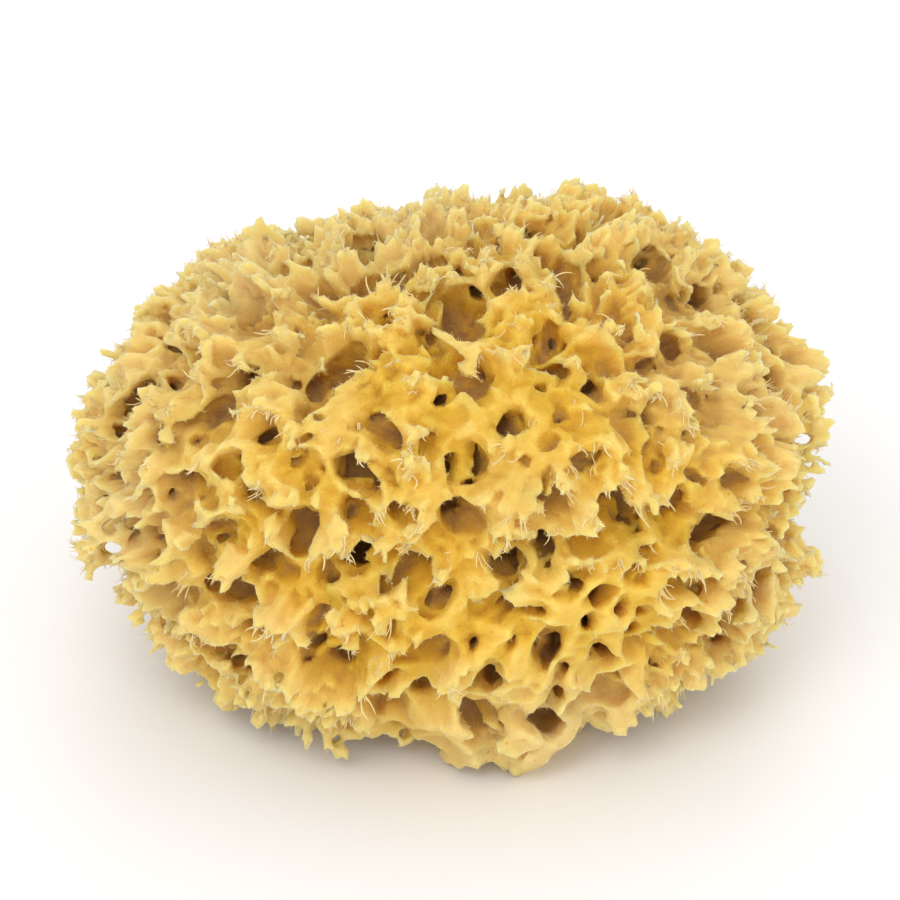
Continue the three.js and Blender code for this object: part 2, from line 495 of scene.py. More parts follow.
def spline_weights(places: np.ndarray, start: float, spacing: float, count: int) -> np.ndarray:
    """Weights of a cubic spline's knots at places along an axis.

    Args:
        places: where the values are wanted.
        start: the place of the first knot.
        spacing: from knot to knot.
        count: how many knots there are.

    Returns:
        One row of weights for each place.
    """
    distance = np.abs((places[:, None] - start) / spacing - np.arange(count)[None, :])
    near = 2 / 3 - distance**2 + distance**3 / 2
    far = np.clip(2 - distance, 0, None) ** 3 / 6
    return np.where(distance < 1, near, far).astype(np.float32)


def smooth_max(a: np.ndarray, b: np.ndarray, width: float) -> np.ndarray:
    """The larger of two fields, blended over a width."""
    blend = np.maximum(width - np.abs(a - b), 0)
    return np.maximum(a, b) + blend * blend * (0.25 / width)


def smooth_min(a: np.ndarray, b: np.ndarray, width: float) -> np.ndarray:
    """The smaller of two fields, blended over a width."""
    blend = np.maximum(width - np.abs(a - b), 0)
    return np.minimum(a, b) - blend * blend * (0.25 / width)


@dataclass
class Mouths:
    """Openings in the surface, one a row."""

    points: np.ndarray
    inward: np.ndarray
    half_wide: np.ndarray
    half_high: np.ndarray
    turn: np.ndarray
    depth: np.ndarray
    flare: np.ndarray

    @property
    def reach(self) -> np.ndarray:
        """The radius that each mouth takes up."""
        return np.sqrt(self.half_wide * self.half_high) * 1.05

    def joined(self, other: "Mouths") -> "Mouths":
        """These mouths and others."""
        pairs = zip(vars(self).values(), vars(other).values())
        return Mouths(*[np.concatenate(pair) for pair in pairs])

    def narrowed(self, share: float) -> "Mouths":
        """The same canals with straight sides, at a share of their width.

        Args:
            share: the share of the width that is kept.

        Returns:
            The narrower canals.
        """
        return Mouths(
            self.points,
            self.inward,
            self.half_wide * share,
            self.half_high * share,
            self.turn,
            self.depth,
            np.zeros(len(self.points)),
        )


@dataclass
class Blades:
    """Thin leaves of tissue that stand up between the mouths, one a row."""

    roots: np.ndarray
    ways: np.ndarray
    wide: np.ndarray
    half_width: np.ndarray
    half_thickness: np.ndarray
    height: np.ndarray
    bend: np.ndarray
    phase: np.ndarray
    tip_width: np.ndarray
    flute: np.ndarray
    tooth: np.ndarray

    @property
    def thin(self) -> np.ndarray:
        """The way through each leaf."""
        return unit(np.cross(self.ways, self.wide))

    @property
    def level(self) -> np.ndarray:
        """The way along each leaf's rim, square to its height."""
        return unit(np.cross(self.thin, self.ways))

    @property
    def tips(self) -> np.ndarray:
        """The middle of each leaf's rim."""
        return self.roots + self.ways * self.height[:, None]

    def chosen(self, keep: np.ndarray) -> "Blades":
        """Some of these leaves."""
        return Blades(*[values[keep] for values in vars(self).values()])

    def joined(self, other: "Blades") -> "Blades":
        """These leaves and others."""
        pairs = zip(vars(self).values(), vars(other).values())
        return Blades(*[np.concatenate(pair) for pair in pairs])

    def rim(self, rows: np.ndarray | int, a: np.ndarray) -> np.ndarray:
        """How high the toothed rims of some leaves stand at distances along them.

        Args:
            rows: the numbers of the leaves.
            a: distances along their rims.

        Returns:
            The rim's height at each distance.
        """
        phase = self.phase[rows]
        long_teeth = np.abs(np.sin(TOOTH_RATE * a + phase))
        short_teeth = np.abs(np.sin(SHORT_TOOTH_RATE * a - 2 * phase))
        return self.height[rows] - self.tooth[rows] * (long_teeth + SHORT_TOOTH_SHARE * short_teeth)

    def middle(self, rows: np.ndarray | int, a: np.ndarray, along: np.ndarray) -> np.ndarray:
        """How far the middle of some leaves lies off their plane: they bend, wave and are fluted.

        Args:
            rows: the numbers of the leaves.
            a: distances along their rims.
            along: heights over their roots.

        Returns:
            The distance off the plane at each.
        """
        phase = self.phase[rows]
        bent = self.bend[rows] * along * np.abs(along)
        return bent + 0.35 * np.sin(a * 1.3 + phase) - self.flute[rows] * np.sin(a * 3.3 + 2 * phase)


class Rounding(Enum):
    """How wide the edges of each kind of feature are rounded, in millimetres."""

    MOUTH = 1.0
    PIT = 1.2
    LEAF = 2.6
    BOWL = 0.7
    REOPENED = 0.8
    TONGUE = 2.2
    PORE = 0.5
    CUT = 0.3
    GAP = 0.6


@dataclass
class Growth:
    """Lays out where the sponge's openings and crests are, then grows them in the voxels."""

    mass: Mass
    rng: np.random.Generator
    step: float = 0.45
    candidates: int = 9000
    mouth_radius: tuple[float, float] = (0.9, 4.6)
    wide_mouth: float = 2.6
    wall: tuple[float, float] = (0.9, 2.7)
    blade_spacing: float = 4.1
    margin: float = 7.0
    low_reach: float = 15.0
    least_rise: float = -0.2
    fan_facing: float = 0.45
    awning: float = 0.35
    droop: tuple[float, float] = (0.15, 0.95)
    flute_spacing: float = 0.85
    flute_depth: tuple[float, float] = (0.10, 0.27)
    shown_width: float = 1.2
    deepest: float = 11.0
    bowl_radius: tuple[float, float] = (1.1, 3.1)
    bowl_candidates: int = 26000
    bowl_clearance: float = 3.4
    reopened: float = 0.95
    reopened_clearance: float = 9.0
    roughness: float = 0.15
    roughness_wavelength: float = 2.4

    def settled(self, block: VoxelBlock, points: np.ndarray, ways: np.ndarray) -> np.ndarray:
        """Points moved along their ways until they are on the lobed surface.

        Args:
            block: the voxels.
            points: places near the surface, one a row.
            ways: the way that each one moves along.

        Returns:
            The moved places.
        """
        slant = np.maximum((self.mass.outward(points) * ways).sum(1), 0.35)
        for _ in range(3):
            points = points - ways * (block.sample(block.air, points) / slant)[:, None]
        return points

    def shown_mouths(self, block: VoxelBlock) -> Mouths:
        """The mouths laid out on the show side.

        Args:
            block: the voxels.

        Returns:
            The mouths.
        """
        rows = np.array(SHOW_CANALS, float)
        points = self.mass.show_points(rows[:, 0], rows[:, 1])
        points = self.settled(block, points, np.tile(TOWARDS, (len(points), 1)))
        inward = -unit(0.5 * unit(points) + 1.6 * TOWARDS - 0.25 * UP)
        return Mouths(
            points,
            inward,
            rows[:, 2] * self.shown_width,
            rows[:, 3] * self.shown_width,
            np.radians(rows[:, 4]),
            np.minimum(rows[:, 5], self.deepest),
            np.full(len(rows), 0.3),
        )

    def pits(self, shown: Mouths) -> Mouths:
        """Shallow round pits about the small holes of the smooth patches.

        Args:
            shown: the mouths laid out on the show side.

        Returns:
            The pits.
        """
        rows = np.flatnonzero((calmness(shown.points) > 0.3) & (shown.reach < 2.1))
        radii = 1.3 + 0.75 * shown.reach[rows]
        return Mouths(
            shown.points[rows],
            -unit(self.mass.outward(shown.points[rows]) + TOWARDS),
            radii * self.rng.uniform(0.9, 1.25, len(rows)),
            radii,
            self.rng.uniform(0, math.pi, len(rows)),
            self.rng.uniform(1.8, 2.8, len(rows)),
            np.full(len(rows), 0.3),
        )

    def spread_mouths(self, block: VoxelBlock, taken: Mouths) -> Mouths:
        """Mouths over the rest of the surface, the largest first, with thin walls between.

        Args:
            block: the voxels.
            taken: the mouths that are there already.

        Returns:
            The new mouths.
        """
        points = self.mass.scattered(self.candidates, self.rng)
        points = self.settled(block, points, self.mass.outward(points))
        points = points[points[:, 2] > -self.mass.cut_below - 2]
        count = len(points)
        share = np.sort(self.rng.random(count))[::-1] ** 1.6
        walls = self.rng.uniform(*self.wall, len(taken.points) + count)
        radii = self.mouth_radius[0] + (self.mouth_radius[1] - self.mouth_radius[0]) * share
        places = np.concatenate([taken.points, points])
        reach = np.concatenate([taken.reach, radii])
        walls[len(taken.points):] += 1.5 * calmness(points)
        kept = list(range(len(taken.points)))
        first = len(kept)
        for i in range(first, len(places)):
            gap = np.linalg.norm(places[kept] - places[i], axis=1) - reach[kept] - reach[i]
            if gap.min() > walls[i]:
                kept.append(i)
        chosen = np.array(kept[first:])
        points, radii = places[chosen], reach[chosen]
        count = len(points)
        squash = self.rng.uniform(0.72, 1.0, count)
        wide = radii > self.wide_mouth
        canal_share = np.where(wide, 0.4, 0.45)
        canal = np.where(wide, self.rng.uniform(9, 18, count), self.rng.uniform(5, 12, count))
        bowl = radii * self.rng.uniform(0.9, 1.7, count)
        deep = np.where(self.rng.random(count) < canal_share, canal, bowl)
        lean = self.rng.normal(0, 0.28, (count, 3))
        outward = self.mass.outward(points)
        lean -= 0.5 * smoothstep(outward @ TOWARDS, 0.3, 0.8)[:, None] * UP
        inward = -unit(outward + lean)
        return Mouths(
            points,
            inward,
            radii / np.sqrt(squash),
            radii * np.sqrt(squash),
            self.rng.uniform(0, math.pi, count),
            deep,
            self.rng.uniform(0.3, 0.7, count),
        )

    def inner_mouths(self, outer: Mouths) -> Mouths:
        """Small pores in the floors and walls of the wide openings.

        Args:
            outer: the mouths that they open into.

        Returns:
            The pores.
        """
        wide = np.flatnonzero(outer.reach > 2.0)
        rows = np.repeat(wide, 3)
        rows = rows[self.rng.random(len(rows)) < 0.75]
        count = len(rows)
        level, rising = across_axes(outer.inward[rows])
        bearing = self.rng.uniform(0, 2 * math.pi, count)
        side = np.cos(bearing)[:, None] * level + np.sin(bearing)[:, None] * rising
        down = np.minimum(outer.depth[rows], 7) * self.rng.uniform(0.25, 0.95, count)
        points = (
            outer.points[rows]
            + outer.inward[rows] * down[:, None]
            + side * (outer.reach[rows] * self.rng.uniform(0.1, 0.8, count))[:, None]
        )
        radii = self.rng.uniform(0.55, 1.35, count)
        inward = unit(outer.inward[rows] * self.rng.uniform(0.3, 1.0, (count, 1)) + side * 0.6)
        return Mouths(
            points,
            inward,
            radii * self.rng.uniform(0.8, 1.3, count),
            radii,
            self.rng.uniform(0, math.pi, count),
            self.rng.uniform(3, 8, count),
            np.full(count, 0.25),
        )

    def cut_mouths(self) -> Mouths:
        """Canals that the flat cut lays open.

        Returns:
            The mouths, on the plane of the cut.
        """
        spacing = 5.2
        reach = self.mass.half_length
        line = np.arange(-reach, reach, spacing)
        x, y = (grid.ravel() for grid in np.meshgrid(line, line))
        count = len(x)
        x = x + self.rng.uniform(-0.5, 0.5, count) * spacing
        y = y + self.rng.uniform(-0.5, 0.5, count) * spacing
        points = np.stack([x, y, np.full(count, -self.mass.cut_below)], 1)
        inside = np.linalg.norm(points, axis=1) < self.mass.radius(unit(points)) - 3
        inside &= self.rng.random(count) < 0.8
        points = points[inside]
        count = len(points)
        inward = unit(np.array([0, 0, 1.0]) + self.rng.normal(0, 0.35, (count, 3)))
        radii = 0.7 + 1.9 * self.rng.random(count) ** 1.6
        return Mouths(
            points,
            inward,
            radii * self.rng.uniform(0.75, 1.3, count),
            radii,
            self.rng.uniform(0, math.pi, count),
            self.rng.uniform(4, 12, count),
            np.full(count, 0.1),
        )

    def blades(self, block: VoxelBlock, mouths: Mouths) -> Blades:
        """Leaves of tissue where the walls between the mouths are thickest.

        Args:
            block: the voxels.
            mouths: the mouths that the leaves stand between.

        Returns:
            The leaves.
        """
        points = self.mass.scattered(self.candidates, self.rng)
        points = self.settled(block, points, self.mass.outward(points))
        points = points[points[:, 2] > -self.mass.cut_below + 3]
        points = points[self.rng.random(len(points)) > 0.95 * calmness(points)]
        shown = len(SHOW_CANALS)
        gaps = np.empty(len(points))
        nearest = np.empty(len(points), int)
        for i, point in enumerate(points):
            gap = np.linalg.norm(mouths.points - point, axis=1) - mouths.reach
            gap[:shown] -= 0.6
            nearest[i] = np.argmin(gap)
            gaps[i] = gap[nearest[i]]
        order = np.argsort(-gaps)
        kept: list[int] = []
        for i in order:
            if gaps[i] < 0.25:
                break
            if kept and np.linalg.norm(points[kept] - points[i], axis=1).min() < self.blade_spacing:
                continue
            kept.append(i)
        points, gaps, nearest = points[kept], gaps[kept], nearest[kept]
        count = len(points)
        outward = self.mass.outward(points)
        facing = outward @ TOWARDS
        fan = facing < self.fan_facing
        towards_mouth = unit(mouths.points[nearest] - points)
        wide = unit(np.cross(outward, towards_mouth))
        shown_share = smoothstep(facing, self.fan_facing, 0.9)
        awning = shown_share * np.where(wide @ ACROSS < 0, -self.awning, self.awning)
        wide = unit(wide + awning[:, None] * ACROSS)
        hang = shown_share * self.rng.uniform(*self.droop, count)
        droop = hang[:, None] * -UP
        lean = np.where(nearest < shown, -0.3, self.rng.uniform(-0.2, 0.6, count))
        ways = unit(outward + lean[:, None] * towards_mouth + droop)
        low = (points[:, 2] < self.low_reach - self.mass.cut_below) & (facing > 0.25)
        ways[low, 2] = np.maximum(ways[low, 2], self.least_rise)
        ways = unit(ways)
        size = self.rng.uniform(0.75, 1.35, count)
        half_width = size * (1.7 + 0.65 * np.clip(gaps, 0, 2.4)) * np.where(fan, 1.5, 1.0)
        height = np.where(fan, Habit.FAN.height, Habit.LOBE.height) + 0.5 * np.clip(gaps, 0, 3)
        leaves = Blades(
            points - outward * 2.2,
            ways,
            wide,
            half_width,
            (0.95 + 0.18 * half_width) * np.where(fan, 0.85, 1.0),
            size * height + 0.9,
            self.rng.normal(0, 0.035, count),
            self.rng.uniform(0, 2 * math.pi, count),
            np.where(fan, Habit.FAN.tip_width, Habit.LOBE.tip_width),
            np.where(fan, Habit.FAN.flute, Habit.LOBE.flute),
            np.where(fan, Habit.FAN.tooth, Habit.LOBE.tooth),
        )
        return leaves.chosen(calmness(leaves.tips) < 0.5)

    def tongues(self, block: VoxelBlock) -> Blades:
        """The tongues laid out over the canals of the show side.

        Args:
            block: the voxels.

        Returns:
            The tongues, as leaves of their own habit.
        """
        rows = np.array(TONGUES, float)
        count = len(rows)
        points = self.mass.show_points(rows[:, 0], rows[:, 1])
        points = self.settled(block, points, np.tile(TOWARDS, (count, 1)))
        outward = self.mass.outward(points)
        bearing = np.radians(rows[:, 2])
        along = np.cos(bearing)[:, None] * ACROSS + np.sin(bearing)[:, None] * UP
        ways = unit(along + rows[:, 5:] * outward)
        wide = unit(np.cross(ways, TOWARDS))
        return Blades(
            points - outward * 2.5 - along * 1.5,
            ways,
            wide,
            rows[:, 4] / 2,
            0.9 + 0.12 * rows[:, 4],
            rows[:, 3] + Habit.TONGUE.height,
            np.full(count, 0.03),
            self.rng.uniform(0, 2 * math.pi, count),
            np.full(count, Habit.TONGUE.tip_width),
            np.full(count, Habit.TONGUE.flute),
            np.full(count, Habit.TONGUE.tooth),
        )

    def block(self) -> VoxelBlock:
        """The voxels, holding the bare mass and the winding that every feature follows.

        Returns:
            The voxels.
        """
        halves = np.array([self.mass.half_length, self.mass.half_width, self.mass.half_height])
        low, high = -halves - self.margin, halves + self.margin
        low[2] = -self.mass.cut_below - 3 * self.step
        block = VoxelBlock(low, high, self.step)
        block.air = self.bare(block)
        block.warped = []
        for grid in block.open_grid():
            bend = 1.15 * block.noise(15, self.rng) + 0.42 * block.noise(6, self.rng)
            block.warped.append((grid + bend).astype(np.float32))
        return block

    def bare(self, block: VoxelBlock) -> np.ndarray:
        """How far each voxel is from the mass's lobed surface.

        Args:
            block: the voxels.

        Returns:
            The distance at each voxel, above 0 in the air.
        """
        x, y, z = block.open_grid()
        distance = np.sqrt(x * x + y * y + z * z)
        upper = (z > 0).ravel()
        gauge = np.empty(block.shape, np.float32)
        for part, n in ((upper, self.mass.crown_fullness), (~upper, self.mass.foot_fullness)):
            total = (
                np.abs(x / self.mass.half_length) ** n
                + np.abs(y / self.mass.half_width) ** n
                + np.abs(z[:, :, part] / self.mass.half_height) ** n
            )
            gauge[:, :, part] = total ** (1 / n)
        air = distance * (1 - 1 / np.maximum(gauge, 1e-3))
        reach = np.maximum(distance, 1)
        front = smoothstep((y * TOWARDS[1] + z * TOWARDS[2]) / reach, 0.1, 0.5)
        up = y * UP[1] + z * UP[2]
        over = (up - self.mass.crease_slope * x) / reach - self.mass.crease_rise
        width = self.mass.crease_half_width
        air += front * self.mass.crease_deep * np.exp(-((over / width) ** 2))
        air += front * self.mass.foot_set_back * smoothstep(-over, 0, width)
        for across, height, radius, swelling in SWELLINGS:
            air -= swelling * np.exp(-((x - across) ** 2 + (up - height) ** 2) / radius**2)
        air += 0.7 * block.noise(22, self.rng) + 0.55 * block.noise(9, self.rng)
        return air.astype(np.float32)

    def carve(self, block: VoxelBlock, mouths: Mouths, rounding: float, clearance: float = 4.0) -> None:
        """Carves canals, bowls and pores out of the voxels.

        Args:
            block: the voxels.
            mouths: the openings to carve.
            rounding: how wide their edges are rounded.
            clearance: how far outside its mouth each opening is kept free.
        """
        starts = np.stack([block.sample(axis, mouths.points) for axis in block.warped], 1)
        level, rising = across_axes(mouths.inward)
        cos, sin = np.cos(mouths.turn)[:, None], np.sin(mouths.turn)[:, None]
        wide, high = cos * level + sin * rising, cos * rising - sin * level
        for i in range(len(mouths.points)):
            half_wide, half_high = mouths.half_wide[i], mouths.half_high[i]
            depth, flare = mouths.depth[i], mouths.flare[i]
            spread = max(half_wide, half_high) * (1 + 2.2 * flare) + 2.5
            ends = np.stack([mouths.points[i] - clearance * mouths.inward[i],
                             mouths.points[i] + depth * mouths.inward[i]])
            window = block.window(ends.min(0) - spread, ends.max(0) + spread)
            q = [axis[window] - start for axis, start in zip(block.warped, starts[i])]
            along = sum(q[k] * np.float32(mouths.inward[i][k]) for k in range(3))
            a = sum(q[k] * np.float32(wide[i][k] / half_wide) for k in range(3))
            b = sum(q[k] * np.float32(high[i][k] / half_high) for k in range(3))
            around = np.sqrt(a * a + b * b)
            mean = math.sqrt(half_wide * half_high)
            opening = 1 - 0.3 * np.clip(along / depth, 0, 1)
            opening += flare * np.exp(np.minimum(-along / (0.7 * mean + 0.5), 1.1))
            hole = mean * (opening - around)
            end = (depth - along) * min(1.0, 1.6 * mean / depth + 0.4)
            hole = smooth_min(hole, end, mean)
            block.air[window] = smooth_max(block.air[window], hole, rounding)

    def raise_blades(self, block: VoxelBlock, blades: Blades, blend: float) -> None:
        """Adds the leaves of tissue to the voxels.

        Args:
            block: the voxels.
            blades: the leaves to add.
            blend: how wide they blend into what is there.
        """
        thin, level = blades.thin, blades.level
        for i in range(len(blades.roots)):
            height, half_width = blades.height[i], blades.half_width[i]
            thickness = blades.half_thickness[i]
            ends = np.stack([blades.roots[i], blades.roots[i] + height * blades.ways[i]])
            window = block.window(ends.min(0) - half_width - 3, ends.max(0) + half_width + 3)
            q = [block.axes[k][window[k]] - np.float32(blades.roots[i][k]) for k in range(3)]
            q = [q[0][:, None, None], q[1][None, :, None], q[2][None, None, :]]
            along = sum(q[k] * np.float32(blades.ways[i][k]) for k in range(3))
            a = sum(q[k] * np.float32(level[i][k]) for k in range(3))
            c = sum(q[k] * np.float32(thin[i][k]) for k in range(3))
            c = c - blades.middle(i, a, along)
            share = np.clip(along / height, 0, 1)
            narrowing = 1.15 - (1.15 - blades.tip_width[i]) * share
            around = np.sqrt(
                (a / (half_width * narrowing)) ** 2
                + (c / (thickness * (1.25 - 0.8 * share))) ** 2
            )
            leaf = (around - 1) * thickness * (1.25 - 0.7 * share)
            leaf = np.maximum(leaf, (along - blades.rim(i, a)) * 0.6)
            block.air[window] = smooth_min(block.air[window], leaf, blend)

    def open_surface(self, block: VoxelBlock, count: int) -> tuple[np.ndarray, np.ndarray]:
        """Random places on the open surface.

        Args:
            block: the voxels.
            count: how many places are tried.

        Returns:
            The places, and the way out of the tissue at each.
        """
        shell = np.flatnonzero(np.abs(block.air) < block.step / 2)
        shell = self.rng.choice(shell, count, replace=False)
        i, j, k = np.unravel_index(shell, block.shape)
        points = np.stack([block.axes[0][i], block.axes[1][j], block.axes[2][k]], 1).astype(float)
        slope = [
            block.sample(block.air, points + block.step * axis)
            - block.sample(block.air, points - block.step * axis)
            for axis in np.eye(3)
        ]
        ways = unit(np.stack(slope, 1))
        free = block.sample(block.air, points + 1.8 * ways) > 0.8
        free &= (ways * unit(points)).sum(1) > 0.1
        return points[free], ways[free]

    def scoop(self, block: VoxelBlock, taken: Mouths, rounding: float) -> None:
        """Hollows the open surface out into shallow round bowls that meet in thin rims.

        Args:
            block: the voxels.
            taken: pits that the bowls keep clear of.
            rounding: how wide the rims are rounded.
        """
        points, ways = self.open_surface(block, self.bowl_candidates)
        pits = KDTree(len(taken.points))
        for number, point in enumerate(taken.points):
            pits.insert(point, number)
        pits.balance()
        clear = np.array([pits.find(point)[2] > self.bowl_clearance for point in points])
        fringe = 1 - shownness(points, 0.2, 0.6)
        clear &= self.rng.random(len(points)) > np.maximum(0.6 * calmness(points), 0.5 * fringe)
        points, ways = points[clear], ways[clear]
        count = len(points)
        share = np.sort(self.rng.random(count))[::-1] ** 1.5
        radii = self.bowl_radius[0] + (self.bowl_radius[1] - self.bowl_radius[0]) * share
        depths = radii * self.rng.uniform(0.45, 0.8, count)
        backing = block.sample(block.air, points - (depths + 0.7)[:, None] * ways)
        fits = (backing < -0.3) | (self.rng.random(count) < 0.06)
        points, ways, radii, depths = points[fits], ways[fits], radii[fits], depths[fits]
        walls = self.rng.uniform(-0.1, 0.8, len(points))
        kept: list[int] = []
        for i in range(len(points)):
            gap = np.linalg.norm(points[kept] - points[i], axis=1) - 0.85 * (radii[kept] + radii[i])
            if not kept or gap.min() > walls[i]:
                kept.append(i)
        starts = np.stack([block.sample(axis, points[kept]) for axis in block.warped], 1)
        level, rising = across_axes(ways[kept])
        turn = self.rng.uniform(0, math.pi, (len(kept), 1))
        long_way = np.cos(turn) * level + np.sin(turn) * rising
        pull = 1 - self.rng.uniform(1.0, 1.6, len(kept)) ** -2.0
        for row, i in enumerate(kept):
            centre = ways[i] * (radii[i] - depths[i])
            reach = 1.6 * radii[i] + 1.5
            window = block.window(points[i] + centre - reach, points[i] + centre + reach)
            q = [block.warped[k][window] - np.float32(starts[row][k] + centre[k]) for k in range(3)]
            along = sum(q[k] * np.float32(long_way[row][k]) for k in range(3))
            away = np.sqrt(np.maximum(sum(part * part for part in q) - pull[row] * along * along, 0))
            block.air[window] = smooth_max(block.air[window], radii[i] - away, rounding)
        log.info("%d bowls", len(kept))

    def flute(self, block: VoxelBlock) -> None:
        """Cuts fine flutes that run outward over every wall, deepest round the edge of the show side.

        Args:
            block: the voxels.
        """
        shell = np.flatnonzero(np.abs(block.air) < 1.6)
        i, j, k = np.unravel_index(shell, block.shape)
        points = np.stack([block.axes[0][i], block.axes[1][j], block.axes[2][k]], 1)
        ways = unit(points - np.float32(10) * UP.astype(np.float32))
        reach = np.full(3, 52.0)
        knots = VoxelBlock(-reach, reach, self.flute_spacing)
        values = self.rng.standard_normal(knots.shape).astype(np.float32)
        flutes = np.clip(1.6 * knots.sample(values, ways * 50), -1.6, 1.6)
        edge = 1 - shownness(points, 0.3, 0.8)
        depth = self.flute_depth[0] + (self.flute_depth[1] - self.flute_depth[0]) * edge
        depth = depth * (1 - 0.7 * calmness(points))
        block.air.ravel()[shell] += (depth * flutes).astype(np.float32)

    def pierce(self, block: VoxelBlock) -> None:
        """Opens the gaps that go right through the edge.

        Args:
            block: the voxels.
        """
        x, y, z = block.open_grid()
        up = y * UP[1] + z * UP[2]
        for across, height, half_width, half_height in GAPS:
            ends = across + np.array([-1, 1]) * (half_width + 2)
            first, last = np.searchsorted(block.axes[0], ends)
            a = (x[first:last] - across) / half_width
            b = (up - height) / half_height
            hole = math.sqrt(half_width * half_height) * (1 - np.sqrt(a * a + b * b))
            block.air[first:last] = smooth_max(block.air[first:last], hole, Rounding.GAP.value)

    def grow(self) -> tuple[VoxelBlock, Blades]:
        """Grows the whole sponge.

        Returns:
            The voxels, and the leaves of tissue whose rims fray.
        """
        block = self.block()
        shown = self.shown_mouths(block)
        outer = shown.joined(self.spread_mouths(block, shown))
        pits = self.pits(shown)
        blades = self.blades(block, outer)
        tongues = self.tongues(block)
        log.info("%d mouths, %d leaves of tissue", len(outer.points), len(blades.roots))
        self.carve(block, outer, Rounding.MOUTH.value)
        self.carve(block, pits, Rounding.PIT.value)
        self.raise_blades(block, blades, Rounding.LEAF.value)
        self.scoop(block, pits, Rounding.BOWL.value)
        self.carve(block, shown.narrowed(self.reopened), Rounding.REOPENED.value, self.reopened_clearance)
        self.raise_blades(block, tongues, Rounding.TONGUE.value)
        inner = self.inner_mouths(outer)
        self.carve(block, inner, Rounding.PORE.value)
        log.info("carved and raised")
        self.flute(block)
        log.info("fluted")
        block.air += self.roughness * block.noise(self.roughness_wavelength, self.rng)
        self.pierce(block)
        self.carve(block, self.cut_mouths(), Rounding.CUT.value)
        below = -self.mass.cut_below - block.open_grid()[2]
        block.air = np.maximum(block.air, below)
        return block, blades.joined(tongues)


@dataclass
class Fray:
    """The frayed rims of the leaves of tissue: where strands leave them, and which way."""

    blades: Blades
    block: VoxelBlock
    rng: np.random.Generator
    fringe_density: float = 1.7
    rim_depth: float = 0.4
    droop: float = 0.35

    def sites(
        self, per_mm: float, gathered: float, jitter: float
    ) -> tuple[np.ndarray, np.ndarray, np.ndarray]:
        """Strands along the rims.

        Args:
            per_mm: how many strands stand on a millimetre of rim.
            gathered: the share of them that stand on the teeth.
            jitter: how much their ways differ within one leaf.

        Returns:
            The strands' roots, their ways and the ways that they curl towards.
        """
        blades, rng = self.blades, self.rng
        live = 1 - calmness(blades.tips)
        half_rim = blades.half_width * blades.tip_width
        dense = self.fringe_density + (1 - self.fringe_density) * shownness(blades.roots, 0.2, 0.6)
        rows = np.repeat(np.arange(len(live)), rng.poisson(per_mm * 2 * half_rim * live * dense))
        half = half_rim[rows]
        a = rng.uniform(-1, 1, len(rows)) * half
        phase = blades.phase[rows]
        tooth = (np.round((TOOTH_RATE * a + phase) / math.pi) * math.pi - phase) / TOOTH_RATE
        on_tooth = (rng.random(len(rows)) < gathered) & (np.abs(tooth) < half)
        a = np.where(on_tooth, tooth + rng.normal(0, 0.25, len(rows)), a)
        along = blades.rim(rows, a) - self.rim_depth
        off = blades.middle(rows, a, along)
        level, thin, out = blades.level[rows], blades.thin[rows], blades.ways[rows]
        roots = blades.roots[rows] + along[:, None] * out + a[:, None] * level + off[:, None] * thin
        sway = rng.normal(0, 0.18, (len(live), 3))[rows]
        hang = self.droop * smoothstep(out @ TOWARDS, 0.2, 0.7)[:, None] * -UP
        ways = unit(out + 0.5 * (a / half)[:, None] * level + sway + hang
                    + rng.normal(0, jitter, (len(rows), 3)))
        turned = rng.normal(0, 1, (len(live), 3))[rows]
        bends = unit(turned + 0.8 * hang / self.droop + 0.6 * rng.normal(0, 1, (len(rows), 3)))
        roots, rooted = self.sunk(roots, ways)
        clear = self.block.sample(self.block.air, roots + 1.4 * ways) > 0.1
        keep = np.flatnonzero(rooted & clear)
        return roots[keep], ways[keep], bends[keep]

    def sunk(self, roots: np.ndarray, ways: np.ndarray) -> tuple[np.ndarray, np.ndarray]:
        """Moves roots back along their ways until they are in the tissue.

        Args:
            roots: where the strands would start.
            ways: the ways that they leave.

        Returns:
            The roots, and which of them are in the tissue.
        """
        for _ in range(6):
            outside = self.block.sample(self.block.air, roots) > -0.15
            roots = roots - 0.35 * outside[:, None] * ways
        return roots, self.block.sample(self.block.air, roots) < -0.1


def largest_piece(points: np.ndarray, faces: np.ndarray) -> tuple[np.ndarray, np.ndarray]:
    """Drops every loose crumb of a mesh.

    Args:
        points: corners of the mesh.
        faces: rows of corner numbers, triangles with their last corner twice.

    Returns:
        The corners and faces of the largest connected piece.
    """
    label = np.arange(len(points))
    while True:
        least = label[faces].min(1)
        new = label.copy()
        for column in range(faces.shape[1]):
            np.minimum.at(new, faces[:, column], least)
        new = new[new]
        if np.array_equal(new, label):
            break
        label = new
    biggest = np.argmax(np.bincount(label[faces[:, 0]], minlength=len(points)))
    faces = faces[label[faces[:, 0]] == biggest]
    used = np.zeros(len(points), bool)
    used[faces] = True
    renumber = np.cumsum(used) - 1
    return points[used], renumber[faces]


def mesh_from(name: str, points: np.ndarray, corners: np.ndarray, counts: np.ndarray) -> bpy.types.Object:
    """A mesh object from plain arrays.

    Args:
        name: the piece's name.
        points: corners in metres, one a row.
        corners: the faces' corner numbers, in one run.
        counts: how many corners each face has.

    Returns:
        The new object, linked to the scene.
    """
    mesh = bpy.data.meshes.new(name)
    mesh.vertices.add(len(points))
    mesh.vertices.foreach_set("co", points.astype(np.float32).ravel())
    mesh.loops.add(len(corners))
    mesh.loops.foreach_set("vertex_index", corners.astype(np.int32))
    starts = np.concatenate([[0], np.cumsum(counts)[:-1]])
    mesh.polygons.add(len(counts))
    mesh.polygons.foreach_set("loop_start", starts.astype(np.int32))
    mesh.polygons.foreach_set("use_smooth", np.ones(len(counts), bool))
    mesh.update(calc_edges=True)
    made = bpy.data.objects.new(name, mesh)
    bpy.context.scene.collection.objects.link(made)
    return made


